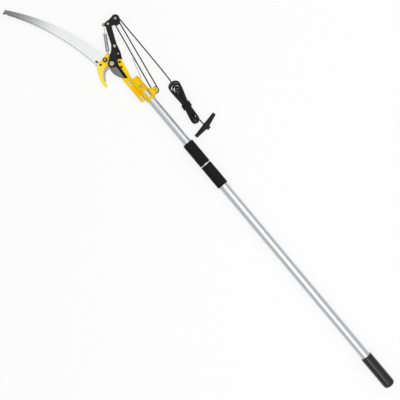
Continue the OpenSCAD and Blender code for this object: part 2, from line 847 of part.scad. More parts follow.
module outer_strand() {
    from = guide + guide_cord * [cos(outer_side), sin(outer_side)];
    to = sheave + becket_cord * [cos(outer_side), sin(outer_side)];
    run = [to.x - from.x, to.y - from.y, becket_z];
    a = [from.x, from.y, 0];
    free = norm(run) - becket_reach - join_gap;
    color(black) tube([for (i = [0:24]) a + unit(run) * (join_gap + free * i / 24)], cord_r, 8);
}

module guide_turn() {
    color(black) tube([for (i = [0:16]) let (a = inner_side + (outer_side + 360 - inner_side) * i / 16)
        [guide.x + guide_cord * cos(a), guide.y + guide_cord * sin(a), 0]], cord_r, 8);
}

module inner_strand() {
    from = guide + guide_cord * [cos(inner_side), sin(inner_side)];
    to = sheave + sheave_cord * [cos(inner_side), sin(inner_side)];
    run = [to.x - from.x, to.y - from.y, block_z];
    a = [from.x, from.y, 0];
    free = norm(run) - 2 * join_gap;
    color(black) tube([for (i = [0:24]) a + unit(run) * (join_gap + free * i / 24)], cord_r, 8);
}

module block_turn() {
    color(black) tube([for (i = [0:16]) let (a = inner_side + (-90 - inner_side) * i / 16)
        [sheave.x + sheave_cord * cos(a), sheave.y + sheave_cord * sin(a), block_z]], cord_r, 8);
}

module lead_strand() {
    color(black) tube(curve(lead_route, 4), cord_r, 8);
}

module hank() {
    color(black) on_hank() difference() {
        slab(hank_outline, 0, hank_h);
        rotate([90, 0, 90]) linear_extrude(2 * groove_half, center = true) difference() {
            translate([-top_w, -1]) square([2 * top_w, hank_h + 2]);
            polygon([for (a = [0:7.5:352.5]) let (q = squircle(a)) [core_y * q.x, core_mid + core_z * q.y]]);
        }
    }
}

module hank_tie() {
    color(black) on_hank() tube(tie_path, cord_r, 6);
}

module tail_strand() {
    color(black) tube(curve(tail_route, 3), cord_r, 8);
}

module pull_handle() {
    taper = (handle_mid_r - handle_end_r) / handle_half;
    half = concat(
        [for (x = [15:5:35]) each [[x - 1, 0], [x, 0.6], [x + 1, 0]]],
        [[handle_half - 1.2, 0], [handle_half, 1.2]]);
    all = concat([for (i = [len(half) - 1:-1:0]) [-half[i].x, half[i].y]], [[0, 0]], half);
    color(black) on_handle() difference() {
        union() {
            spindle([for (s = all) [s.x, taper * abs(s.x), handle_mid_r - taper * abs(s.x) - s.y]], 24);
            translate([0, -13, 0]) rotate([-90, 0, 0]) cylinder(h = 22, r1 = 6, r2 = 7.5);
        }
        translate([0, -14, 0]) rotate([-90, 0, 0]) cylinder(h = 30, r = cord_r + 0.5);
        translate([0, -14, 0]) rotate([-90, 0, 0]) cylinder(h = 8, r = 4.2);
    }
}

module handle_knot() {
    color(black) on_handle() translate([0, -10, 0]) sphere(3.9, $fn = 24);
}

// Sub-parts

laid() lower_tube();
laid() upper_tube();
laid() end_cap();
laid() lock_body();
laid() lock_ring();
laid() lock_collet();
laid() lock_collar();
laid() slide_bush();
laid() tube_plug();
laid() head_plate();
laid() hook_blade();
laid() pole_clamp();
laid() clamp_bolt();
laid() clamp_nut();
laid() frame_rivets();
laid() arm_rivet();
laid() blade_stop();
laid() pivot_bolt();
laid() pivot_nut();
laid() saw_blade();
laid() saw_fixing();
laid() saw_washer();
laid() saw_wing_nut();
laid() saw_stud();
laid() saw_key();
laid() guide_bracket();
laid() guide_pulley();
laid() guide_pin();
laid() keeper_wire();
laid() lever_bar();
laid() lever_rear();
laid() cutting_blade();
laid() lever_bolt();
laid() lever_spacer();
laid() lever_nut();
laid() lever_pin();
laid() front_cheek();
laid() rear_cheek();
laid() block_pin();
laid() block_pulley();
laid() spring_coil();
laid() spring_hook();
laid() becket_loop();
laid() outer_strand();
laid() guide_turn();
laid() inner_strand();
laid() block_turn();
laid() lead_strand();
laid() hank();
laid() hank_tie();
laid() tail_strand();
laid() pull_handle();
laid() handle_knot();
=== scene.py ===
# %% [markdown]
# # A tree pruner on a telescopic pole
#
# The tool lies flat: two aluminium tubes, a yellow head with a hook and a cutting blade, a curved saw,
# and a cord that runs over two pulleys to a tied hank and a pull handle. The solids come from the CAD
# frame in metres, so this script only has to dress them and to build what is soft or wound: cord and
# spring.

# %% Load the frame
import math

import bpy
from mathutils import Matrix, Vector


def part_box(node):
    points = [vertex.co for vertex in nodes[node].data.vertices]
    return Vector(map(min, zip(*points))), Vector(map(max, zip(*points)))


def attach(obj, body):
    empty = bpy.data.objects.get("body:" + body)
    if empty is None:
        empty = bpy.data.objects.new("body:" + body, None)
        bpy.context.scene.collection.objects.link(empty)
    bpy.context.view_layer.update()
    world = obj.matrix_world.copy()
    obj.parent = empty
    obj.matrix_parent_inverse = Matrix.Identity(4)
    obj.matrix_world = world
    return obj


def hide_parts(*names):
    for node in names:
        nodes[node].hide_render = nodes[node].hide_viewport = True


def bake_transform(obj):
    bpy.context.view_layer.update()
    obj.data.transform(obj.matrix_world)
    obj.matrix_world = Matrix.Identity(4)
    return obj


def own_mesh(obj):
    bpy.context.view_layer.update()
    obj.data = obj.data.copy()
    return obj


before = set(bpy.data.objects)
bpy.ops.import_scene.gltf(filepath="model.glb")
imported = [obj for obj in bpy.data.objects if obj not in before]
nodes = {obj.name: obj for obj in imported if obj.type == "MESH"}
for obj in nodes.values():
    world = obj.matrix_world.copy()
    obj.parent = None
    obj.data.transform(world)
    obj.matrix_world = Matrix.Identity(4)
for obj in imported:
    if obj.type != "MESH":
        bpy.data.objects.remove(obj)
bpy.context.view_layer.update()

# %% [markdown]
# ## The drawing's own frame
#
# The CAD drawing measures from the foot of the head's socket, in millimetres, with X along the pole. Two
# CAD nodes tell where that point is now: the guide bracket starts at the foot, and the tube is round the
# axis. Lever and hank lie askew in the drawing, so a second helper measures along a turned line.

# %% Drawing frame
MM = 0.001
tube_low, tube_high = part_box("lower_tube")
foot = Vector((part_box("guide_bracket")[0].x, (tube_low.y + tube_high.y) / 2, (tube_low.z + tube_high.z) / 2))
floor_mm = -foot.z / MM


def placed(x, y, z=0.0):
    return foot + Vector((x, y, z)) * MM


def along_line(start, angle, x, y):
    """The point x along and y to the left of a line that leaves start at that angle."""
    c, s = math.cos(angle), math.sin(angle)
    return start[0] + c * x - s * y, start[1] + s * x + c * y


print("socket foot in mm:", [round(v / MM, 2) for v in foot])

# %% [markdown]
# ## Camera
#
# The photograph looks straight down on the tool, turned so that the pole runs from the upper left to the
# lower right. A long lens far away keeps the flat tool flat. Rotation angles would do, but the three axes
# of the camera say more, so they are the columns of its matrix: right in the picture, up, and back to the
# viewer.

# %% Camera
VIEW_WIDTH_MM = 1180
VIEW_MIDDLE_MM = (-319, 80)
CAMERA_HEIGHT_MM = 2400
SENSOR_MM = 36
FAR_CLIP_M = 20
POLE_IN_PICTURE = math.radians(129.91)
camera = bpy.data.objects.new("camera", bpy.data.cameras.new("camera"))
bpy.context.scene.collection.objects.link(camera)
right = Vector((math.cos(POLE_IN_PICTURE), -math.sin(POLE_IN_PICTURE), 0))
up = Vector((math.sin(POLE_IN_PICTURE), math.cos(POLE_IN_PICTURE), 0))
turned = Matrix((right, up, Vector((0, 0, 1)))).transposed().to_4x4()
camera.matrix_world = Matrix.Translation(placed(*VIEW_MIDDLE_MM, CAMERA_HEIGHT_MM)) @ turned
camera.data.sensor_width = SENSOR_MM
camera.data.lens = SENSOR_MM * CAMERA_HEIGHT_MM / VIEW_WIDTH_MM
camera.data.clip_end = FAR_CLIP_M
bpy.context.scene.camera = camera
print("lens in mm:", round(camera.data.lens, 1))

# %% [markdown]
# ## A swept tube
#
# Cord and spring wire are round all along, so both are a circle carried along a line of points. A curve
# with a bevel could do that, but a mesh can hold the UV map that the braid needs: the turn round the
# tube, and the length along it in millimetres. Each new ring takes over the sideways direction of the
# last one, made square to the line again, so the tube never twists.

# %% Swept tube
def swept(name, path, radius, sides=12):
    count = len(path)
    ways = [(path[min(i + 1, count - 1)] - path[max(i - 1, 0)]).normalized() for i in range(count)]
    side = ways[0].orthogonal().normalized()
    points, lengths = [], [0.0]
    for i, (centre, way) in enumerate(zip(path, ways)):
        side = (side - way * side.dot(way)).normalized()
        other = way.cross(side)
        for k in range(sides):
            turn = math.tau * k / sides
            points.append(centre + radius * (math.cos(turn) * side + math.sin(turn) * other))
        if i:
            lengths.append(lengths[-1] + (centre - path[i - 1]).length)
    faces = [
        (i * sides + k, i * sides + (k + 1) % sides, (i + 1) * sides + (k + 1) % sides, (i + 1) * sides + k)
        for i in range(count - 1)
        for k in range(sides)
    ]
    tips = [path[0] - ways[0] * radius * 0.5, path[-1] + ways[-1] * radius * 0.5]
    first, last = len(points), len(points) + 1
    points += tips
    faces += [(first, (k + 1) % sides, k) for k in range(sides)]
    start = (count - 1) * sides
    faces += [(last, start + k, start + (k + 1) % sides) for k in range(sides)]
    mesh = bpy.data.meshes.new(name)
    mesh.from_pydata(points, [], faces)
    layer = mesh.uv_layers.new(name="along")
    for face in mesh.polygons:
        face.use_smooth = True
        for corner, vertex in zip(face.loop_indices, face.vertices):
            ring, k = divmod(min(vertex, start + sides - 1), sides)
            wrap = 1 if k == 0 and face.index % sides == sides - 1 else 0
            layer.data[corner].uv = (k / sides + wrap, lengths[ring] / MM)
    made = bpy.data.objects.new(name, mesh)
    bpy.context.scene.collection.objects.link(made)
    return made


def through(points, steps):
    """A smooth line through the points, as in the CAD drawing."""
    line = []
    for i in range(len(points) - 1):
        a, b = points[max(i - 1, 0)], points[i]
        c, d = points[i + 1], points[min(i + 2, len(points) - 1)]
        bend, twist = 2 * a - 5 * b + 4 * c - d, 3 * b - a - 3 * c + d
        for k in range(steps):
            t = k / steps
            line.append(0.5 * (2 * b + (c - a) * t + bend * t**2 + twist * t**3))
    return line + [points[-1]]


def line_length(path):
    return sum((b - a).length for a, b in zip(path, path[1:]))


print("ready to sweep tubes")

# %% [markdown]
# ## The hank
#
# The spare cord is folded to and fro into a hank in line with the pole, narrow at the tied waist and
# wider at both ends. The CAD solid is one plain block of that size, and here it becomes real cord, which
# stands 1 mm inside the block at the wide end. A simulation could pile the cord up, but a formula gives
# the same neat hank every time. Seen along the hank, the runs stand round an oval like hours on a clock.
# Each new run goes to the far side and one step round, so every fold crosses the middle in its own plane.
# The folds of one end lie behind each other, flat ones outermost.

# %% Hank route
CORD_MM = 3.8
CORD_R_MM = CORD_MM / 2
HANK_RUNS = 15
RUN_TURN = math.pi / HANK_RUNS
HANK_HEIGHT = 24
WAIST_W, TOP_W, BOTTOM_W = 21.8, 38, 27
TOP_RUN, TOP_CORNER, BOTTOM_RUN = 70, 14, 47
TOP_REACH = TOP_RUN + TOP_CORNER
BOTTOM_REACH = BOTTOM_RUN + BOTTOM_W / 2
SLACK_MM, CORD_GAP_MM = 0.3, 0.1
TOP_GAP_MM, SIDE_GAP_MM = 0.5, 0.4
CORE_LOW, CORE_HIGH = CORD_MM + CORD_GAP_MM + SLACK_MM, HANK_HEIGHT - TOP_GAP_MM
CORE_Y, CORE_Z = WAIST_W / 2 - SIDE_GAP_MM, (CORE_HIGH - CORE_LOW) / 2
CORE_MID = (CORE_LOW + CORE_HIGH) / 2
FOLD_STEP = CORD_MM + CORD_GAP_MM
FOLD_RADIUS = 2.5 * CORD_MM
HANK_AT = (-80, -68.6)
HANK_ANGLE = math.radians(172)
LEAD_IN, TAIL_OUT = -44, 38


def from_hank(x, y, z):
    return placed(*along_line(HANK_AT, HANK_ANGLE, x, y), floor_mm + z)


def ease(u):
    return (1 - math.cos(math.pi * min(max(u, 0), 1))) / 2


def bundle(x):
    """Half width, half height and middle height of the oval that the runs stand on."""
    share = ease(-x / TOP_RUN) if x < 0 else ease(x / BOTTOM_RUN)
    end_width = TOP_W if x < 0 else BOTTOM_W
    waist = Vector((CORE_Y - CORD_R_MM, CORE_Z - CORD_R_MM, CORE_MID))
    end = Vector((end_width / 2 - CORD_R_MM, HANK_HEIGHT / 2 - CORD_R_MM, HANK_HEIGHT / 2))
    return waist.lerp(end, share)


def run_turn(k):
    return math.pi / 2 - (RUN_TURN + math.pi) * k


def on_oval(x, oval, turn, share):
    wide, tall, middle = oval
    return from_hank(x, wide * math.cos(turn) * share, middle + tall * math.sin(turn) * share)


def fold_after(k):
    """Where the fold after run k starts, and how deep it is."""
    end = -1 if k % 2 else 1
    same_end = range(k % 2, HANK_RUNS - 1, 2)
    steepness = {j: round(abs(math.sin(run_turn(j) - RUN_TURN / 2)), 6) for j in same_end}
    place = sorted(steepness, key=steepness.get).index(k)
    reach = (TOP_REACH if end < 0 else BOTTOM_REACH) - CORD_R_MM - FOLD_STEP * place
    wide, tall, _ = bundle(end * (reach - FOLD_RADIUS))
    turn = run_turn(k) - RUN_TURN / 2
    depth = math.sqrt(FOLD_RADIUS * math.hypot(wide * math.cos(turn), tall * math.sin(turn)))
    return end * (reach - depth), end * depth


RUN_STEPS, FOLD_STEPS = 14, 16
hank_route = []
run_from = LEAD_IN
for k in range(HANK_RUNS):
    run_to, depth = fold_after(k) if k < HANK_RUNS - 1 else (TAIL_OUT, 0)
    for i in range(RUN_STEPS):
        x = run_from + (run_to - run_from) * i / RUN_STEPS
        hank_route.append(on_oval(x, bundle(x), run_turn(k), 1))
    for i in range(FOLD_STEPS if depth else 0):
        u = i / FOLD_STEPS
        x = run_to + depth * math.sin(math.pi * u)
        hank_route.append(on_oval(x, bundle(run_to), run_turn(k) - RUN_TURN * u, math.cos(math.pi * u)))
    run_from = run_to
print("cord in the hank:", round(line_length(hank_route), 2), "m in", HANK_RUNS, "runs")

# %% [markdown]
# ## The pull cord
#
# One cord leaves the pulley block, runs down beside the pole, climbs into the hank over its near end, and
# leaves it along the floor for the pull handle. Its free parts are lines through a few points, as it
# lies. When the lever is pulled the cord's free part grows; here the cord is one mesh, left where it lies.

# %% Pull cord
PIVOT = (154.5, 21.5)
LEVER_ANGLE, LEVER_MM = math.radians(-34.2), 116.7
BLOCK_ANGLE, BLOCK_MM, BLOCK_Z = math.radians(85.8), 27, 7.05
LEVER_PIN = along_line(PIVOT, LEVER_ANGLE, LEVER_MM, 0)
SHEAVE = along_line(LEVER_PIN, BLOCK_ANGLE, -BLOCK_MM, 0)
SHEAVE_CORD = 9
TAIL_TURN, TAIL_HEIGHT = math.radians(50), 4
LEAD_STEPS, TAIL_STEPS = 8, 6
BESIDE_POLE = [(200, -80.2, 4.7), (150, -80.3, 2.6), (100, -80.3, 0.7), (50, -80.1, -0.8)]
BEFORE_HANK, AT_HANK = (-TOP_REACH - 11, -2.6, 16.5), (-TOP_REACH, -2.4, 16.6)
INTO_HANK = [(-74, -1.8, 18.4), (-64, -0.9, 20.2), (-54, -0.3, 21.5)]
UNDER_HANK = [(44, 3.4, 2.1), (50, 6, 2.2), (54, 9, 3.1)]
TO_HANDLE = [
    (-142.5, -72, 4.7),
    (-147.5, -72.1, 7),
    (-151, -72.5, 8.6),
    (-154.5, -73.1, 9),
    (-158, -73.8, 9),
]
lead_start = placed(SHEAVE[0], SHEAVE[1] - SHEAVE_CORD, BLOCK_Z)
lead_end = from_hank(*AT_HANK)
lead_points = [lead_start, *(placed(*p) for p in BESIDE_POLE), from_hank(*BEFORE_HANK), lead_end]
lead_points += [from_hank(*p) for p in INTO_HANK]
tail_reach = BOTTOM_W / 2 + CORD_R_MM
tail_points = [from_hank(*p) for p in UNDER_HANK]
tail_x, tail_y = BOTTOM_RUN + tail_reach * math.cos(TAIL_TURN), tail_reach * math.sin(TAIL_TURN)
tail_points += [from_hank(tail_x, tail_y, TAIL_HEIGHT)]
tail_points += [placed(x, y, floor_mm + z) for x, y, z in TO_HANDLE]
# The hank's first two and last two points lead the smooth lines on, and their own stretch is then cut off
lead_line = through(lead_points + hank_route[:2], LEAD_STEPS)[: -LEAD_STEPS - 1]
tail_line = through(hank_route[-2:] + tail_points, TAIL_STEPS)[TAIL_STEPS + 1 :]
cord_route = lead_line + hank_route + tail_line
pull_cord = swept("pull_cord", cord_route, CORD_R_MM * MM)
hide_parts("lead_strand", "hank", "tail_strand")
print("pull cord:", round(line_length(cord_route), 2), "m long")

# %% [markdown]
# ## The hank's tie
#
# A few turns of the same cord hold the waist. Rings would be simpler, but real turns are one cord, so
# this is a helix. Seen along the hank it is a rounded box, because the bundle inside is nearly square: a
# root of the sine and cosine pushes the circle out to its corners. Each turn lies beside the last.

# %% Hank tie
TIE_TURNS, TIE_STEPS, TIE_SMOOTHING = 3.5, 24, 3
TIE_PITCH = CORD_MM + 0.6
SQUARENESS = 0.5
TIE_Y, TIE_Z = CORE_Y + CORD_R_MM + SLACK_MM, CORE_Z + CORD_R_MM + SLACK_MM


def tie_point(t):
    c, s = math.cos(math.tau * t), math.sin(math.tau * t)
    y, z = math.copysign(abs(c) ** SQUARENESS, c), math.copysign(abs(s) ** SQUARENESS, s)
    return from_hank((t - TIE_TURNS / 2) * TIE_PITCH, TIE_Y * y, CORE_MID + TIE_Z * z)


tie_route = [tie_point(i / TIE_STEPS) for i in range(int(TIE_STEPS * TIE_TURNS) + 1)]
hank_tie = swept("hank_tie_wraps", through(tie_route, TIE_SMOOTHING), CORD_R_MM * MM)
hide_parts("hank_tie")
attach(hank_tie, "pull")
print("tie:", round(line_length(tie_route), 2), "m in", TIE_TURNS, "turns")

# %% [markdown]
# ## The knot in the handle
#
# The cord passes through the handle and ends in an overhand knot in a pocket at the back. A ball would
# fill the pocket, but a knot shows its turns. Pulled tight it is close to a trefoil, so its line is the
# usual trefoil formula, shrunk to the pocket, in a cord that the pull has drawn thin.

# %% Handle knot
knot_low, knot_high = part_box("handle_knot")
knot_middle = (knot_low + knot_high) / 2
knot_reach = (knot_high.z - knot_low.z) / 2
KNOT_CORD_MM = 1.3
KNOT_STEPS, KNOT_BULGE = 96, 1.2
knot_size = (knot_reach - KNOT_CORD_MM * MM) / 3
knot_route = []
for i in range(KNOT_STEPS + 1):
    a = math.tau * i / KNOT_STEPS
    y, z = math.sin(a) + 2 * math.sin(2 * a), math.cos(a) - 2 * math.cos(2 * a)
    knot_route.append(knot_middle + knot_size * Vector((math.sin(3 * a) * KNOT_BULGE, y, z)))
handle_knot = swept("overhand_knot", knot_route, KNOT_CORD_MM * MM, sides=8)
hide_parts("handle_knot")
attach(handle_knot, "pull")
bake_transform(pull_cord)
print("knot:", round(2 * knot_reach / MM, 1), "mm across")

# %% [markdown]
# ## The cord between the pulleys
#
# Two straight strands join the block to the guide pulley on the socket, with a half turn round each
# pulley and a loop on the block's pin. Each is a sweep along a line or an arc, which touches the pulleys
# where the CAD cord does, and follows its body. The strands swing about the guide and get shorter as the
# lever closes; here the two straight strands only get a mesh of their own.

# %% Working strands
GUIDE = (14, -27.5)
GUIDE_CORD = 8.5
PIN_R, LOOP_SLACK = 3, 0.25
BECKET_CORD = PIN_R + CORD_R_MM + LOOP_SLACK
PULLEY_W, CHEEK_GAP, CHEEK_T, PASSING = 11, 0.5, 1.8, 0.3
BECKET_Z = BLOCK_Z - PULLEY_W / 2 - CHEEK_GAP - CHEEK_T - CORD_R_MM - 2 * PASSING
SHORT_OF_LOOP_MM = 7
STRAND_STEPS, TURN_STEPS, LOOP_STEPS = 24, 32, 40
reach = Vector((SHEAVE[0] - GUIDE[0], SHEAVE[1] - GUIDE[1]))
heading = math.atan2(reach.y, reach.x)
inner_side = heading + math.pi / 2 + math.asin((SHEAVE_CORD - GUIDE_CORD) / reach.length)
outer_side = heading - math.pi / 2 - math.asin((BECKET_CORD - GUIDE_CORD) / reach.length)


def round_pulley(at, radius, turn, z):
    return placed(at[0] + radius * math.cos(turn), at[1] + radius * math.sin(turn), z)


def between(a, b, count):
    return [a + (b - a) * i / count for i in range(count + 1)]


def cut_short(a, b, gap_mm):
    return b - (b - a).normalized() * gap_mm * MM


outer_from = round_pulley(GUIDE, GUIDE_CORD, outer_side, 0)
outer_to = round_pulley(SHEAVE, BECKET_CORD, outer_side, BECKET_Z)
inner_from = round_pulley(GUIDE, GUIDE_CORD, inner_side, 0)
inner_to = round_pulley(SHEAVE, SHEAVE_CORD, inner_side, BLOCK_Z)
outer_stop = cut_short(outer_from, outer_to, SHORT_OF_LOOP_MM)
guide_share = (outer_side + math.tau - inner_side) / TURN_STEPS
block_share = (-math.pi / 2 - inner_side) / TURN_STEPS
guide_turns = [inner_side + guide_share * i for i in range(TURN_STEPS + 1)]
block_turns = [inner_side + block_share * i for i in range(TURN_STEPS + 1)]
becket_turns = [outer_side + math.tau * i / LOOP_STEPS for i in range(LOOP_STEPS + 1)]
strand_lines = {
    "outer_strand": ("strands", between(outer_from, outer_stop, STRAND_STEPS)),
    "inner_strand": ("strands", between(inner_from, inner_to, STRAND_STEPS)),
    "guide_turn": ("strands", [round_pulley(GUIDE, GUIDE_CORD, a, 0) for a in guide_turns]),
    "block_turn": ("lead", [round_pulley(SHEAVE, SHEAVE_CORD, a, BLOCK_Z) for a in block_turns]),
    "becket_loop": ("pulley_block", [round_pulley(SHEAVE, BECKET_CORD, a, BECKET_Z) for a in becket_turns]),
}
strands = {}
for node_name, (body, line) in strand_lines.items():
    strand = swept(node_name + "_cord", line, CORD_R_MM * MM)
    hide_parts(node_name)
    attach(strand, body)
    strands[node_name] = strand
for node_name, anchor in (("outer_strand", outer_from), ("inner_strand", inner_from)):
    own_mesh(strands[node_name])
print("strands:", len(strands), "the longest", round(line_length(strand_lines["inner_strand"][1]) / MM), "mm")

# %% [markdown]
# ## The return spring
#
# A close-wound extension spring pulls the lever open. Its lower hook sits in a hole of the head plate,
# and a long straight hook at the top reaches the lever's eye. A Screw modifier could wind the curls, but
# here one wire makes curls and hooks in one sweep, drawn 0.14 mm thicker than the CAD wire to show. Between
# hook and coil the wire goes through a few points: how far past the coil's end, and at what share of the
# coil's radius.

# %% Return spring
SPRING_HOLE = (182.9, 13.4)
EYE_BACK, EYE_OUT = 0.5, 13
LEVER_EYE = along_line(PIVOT, LEVER_ANGLE, LEVER_MM - EYE_BACK, EYE_OUT)
WIRE_R = 0.75
DRAWN_WIRE_R = 0.82
CURLS, CURL_PITCH, CURL_STEPS = 27, 2, 24
COIL_R, COIL_GAP, HOOK_GAP = 4.75, 1.2, 0.4
HOLE_R, CORNER_R, PLATE_T = 2.2, 5.5, 5
EYE_HOLE, EYE_R, LEVER_T = 2, 4.5, 2.5
LOWER_ARC, UPPER_ARC = range(60, 331, 15), range(205, 481, 15)
TO_COIL, FROM_COIL = [(-0.5, 0.6)], [(2, 0.75), (4.5, 0.3), (7, 0)]
BEFORE_EYE = 1.5
LOWER_SMOOTHING, UPPER_SMOOTHING = 2, 3
spring_foot = placed(*SPRING_HOLE)
spring_run = placed(*LEVER_EYE, BLOCK_Z) - spring_foot
along = spring_run.normalized()
across = Vector((0, 0, 1)).cross(along).normalized()
above = along.cross(across)
HOOK_MID = (HOLE_R + CORNER_R) / 2
HOOK_R = math.hypot(CORNER_R - HOLE_R, PLATE_T) / 2 + WIRE_R + HOOK_GAP
COIL_X = HOOK_MID + HOOK_R + COIL_GAP
COIL_END = COIL_X + CURLS * CURL_PITCH
EYE_MID = spring_run.length / MM - (EYE_HOLE + EYE_R) / 2
EYE_HOOK = math.hypot(EYE_R - EYE_HOLE, LEVER_T) / 2 + WIRE_R + HOOK_GAP


def on_spring(x, y, z):
    return spring_foot + (along * x + across * y + above * z) * MM


def spring_ring(x, r, degrees):
    turn = math.radians(degrees)
    return on_spring(x + r * math.cos(turn), 0, r * math.sin(turn))


lower_hook = [spring_ring(HOOK_MID, HOOK_R, a) for a in [*LOWER_ARC, 360]]
lower_hook += [on_spring(COIL_X + past, 0, COIL_R * share) for past, share in TO_COIL]
curl_points = []
for i in range(CURL_STEPS * CURLS + 1):
    turn = math.tau * i / CURL_STEPS + math.pi / 2
    x = COIL_X + CURL_PITCH * i / CURL_STEPS
    curl_points.append(on_spring(x, COIL_R * math.cos(turn), COIL_R * math.sin(turn)))
upper_hook = [on_spring(COIL_END + past, 0, COIL_R * share) for past, share in FROM_COIL]
upper_hook += [on_spring(EYE_MID - EYE_HOOK - BEFORE_EYE, 0, 0)]
upper_hook += [spring_ring(EYE_MID, EYE_HOOK, a) for a in UPPER_ARC]
spring_route = through(lower_hook, LOWER_SMOOTHING) + curl_points + through(upper_hook, UPPER_SMOOTHING)
return_spring = swept("return_spring", spring_route, DRAWN_WIRE_R * MM, sides=8)
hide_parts("spring_coil", "spring_hook")
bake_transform(return_spring)
print("spring wire:", round(line_length(spring_route), 2), "m in", CURLS, "curls")

# %% [markdown]
# ## The grips of the twist lock
#
# Both black sleeves have shallow flutes along them for the hands. Cutting each flute with a Boolean would
# leave ragged faces, so the cross-section is a circle whose radius dips once for each flute. The flutes
# fade out at plain bands near both ends. The lower grip stops where the pale ring starts.

# %% Fluted sleeves
FLUTES, FLUTE_SAMPLES, FLUTE_DEPTH_MM = 26, 8, 0.7
FLUTE_BREADTH = 0.7
PLAIN_BAND_MM, SOFT_EDGE_MM = 4, 1.2
COLLAR_BORE_MM, BODY_BORE_MM = 12.9, 14.05
SHARP_ANGLE = math.radians(50)


def fluted_sleeve(name, node_name, bore_mm, body):
    low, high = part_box(node_name)
    outside = (high.y - low.y) / 2 / MM
    if node_name == "lock_body":
        high = Vector((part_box("lock_ring")[0].x, high.y, high.z))
    around = FLUTES * FLUTE_SAMPLES
    # Distance from the end, radius, and share of the flutes' depth
    stations = [
        (0, bore_mm, 0),
        (0, outside - SOFT_EDGE_MM, 0),
        (SOFT_EDGE_MM * 0.3, outside - SOFT_EDGE_MM * 0.3, 0),
        (SOFT_EDGE_MM, outside, 0),
        (PLAIN_BAND_MM, outside, 0),
        (PLAIN_BAND_MM + 1, outside, 0.5),
        (PLAIN_BAND_MM + 2.5, outside, 1),
    ]
    length = (high.x - low.x) / MM
    stations += [(length - x, r, share) for x, r, share in reversed(stations)]
    points = []
    for x, r, share in stations:
        middle = Vector((low.x + x * MM, foot.y, foot.z))
        for k in range(around):
            turn = math.tau * k / around
            dip = FLUTE_DEPTH_MM * share * max(0, math.cos(FLUTES * turn)) ** FLUTE_BREADTH
            points.append(middle + Vector((0, math.cos(turn), math.sin(turn))) * (r - dip) * MM)
    rows = len(stations)
    faces = []
    for i in range(rows):
        here, there = i * around, (i + 1) % rows * around
        for k in range(around):
            beside = (k + 1) % around
            faces.append((here + k, here + beside, there + beside, there + k))
    mesh = bpy.data.meshes.new(name)
    mesh.from_pydata(points, [], faces)
    mesh.polygons.foreach_set("use_smooth", [True] * len(faces))
    mesh.set_sharp_from_angle(angle=SHARP_ANGLE)
    made = bpy.data.objects.new(name, mesh)
    bpy.context.scene.collection.objects.link(made)
    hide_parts(node_name)
    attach(made, body)
    return made


collar_grip = fluted_sleeve("collar_grip", "lock_collar", COLLAR_BORE_MM, "lock_collar")
body_grip = fluted_sleeve("body_grip", "lock_body", BODY_BORE_MM, "lower_pole")
print("flutes on each sleeve:", FLUTES)

# %% [markdown]
# ## Materials
#
# Each finish starts from the real one. Colours are sRGB hex values, turned to linear light by one
# function. Pattern sizes are in millimetres: a noise texture of scale s has features about 1 / s metres
# across. One helper adds a node, sets it and links it. The colour sockets of a Mix node have no names of
# their own, so their numbers get names here. Paint wears off edges first, and on the charcoal parts the
# pale edges are also a painted highlight. Painting a mask by hand would do, but a Bevel node finds the
# edges by itself: its rounded normal departs from the face's own normal only there.

# %% Material helpers
FACTOR, COLOUR_A, COLOUR_B, MIXED = 0, 6, 7, 2
EDGE_WEAR_AND_HIGHLIGHT_MM = 0.7


def linear(code):
    parts = [int(code[i : i + 2], 16) / 255 for i in (1, 3, 5)]
    return [p / 12.92 if p <= 0.04045 else ((p + 0.055) / 1.055) ** 2.4 for p in parts] + [1]


def per_mm(size):
    return 1 / (size * MM)


def add(tree, kind, inputs=None, **settings):
    made = tree.nodes.new(kind)
    for name, value in settings.items():
        setattr(made, name, value)
    for socket, value in (inputs or {}).items():
        if isinstance(value, bpy.types.NodeSocket):
            tree.links.new(value, made.inputs[socket])
        else:
            made.inputs[socket].default_value = value
    return made


def start_material(name):
    material = bpy.data.materials.new(name)
    material.use_nodes = True
    tree = material.node_tree
    tree.nodes.clear()
    shader = add(tree, "ShaderNodeBsdfPrincipled")
    add(tree, "ShaderNodeOutputMaterial", {"Surface": shader.outputs["BSDF"]})
    return material, tree, shader


def edges_for_wear_and_highlight(tree, starts, ends):
    rounded = add(tree, "ShaderNodeBevel", {"Radius": EDGE_WEAR_AND_HIGHLIGHT_MM * MM}, samples=6)
    face = add(tree, "ShaderNodeNewGeometry").outputs["Normal"]
    normals = {0: rounded.outputs["Normal"], 1: face}
    facing = add(tree, "ShaderNodeVectorMath", normals, operation="DOT_PRODUCT").outputs["Value"]
    bare = add(tree, "ShaderNodeMapRange", {"Value": facing, "From Min": starts, "From Max": ends})
    return bare.outputs["Result"]


print("helpers ready, worn edges", EDGE_WEAR_AND_HIGHLIGHT_MM, "mm wide")
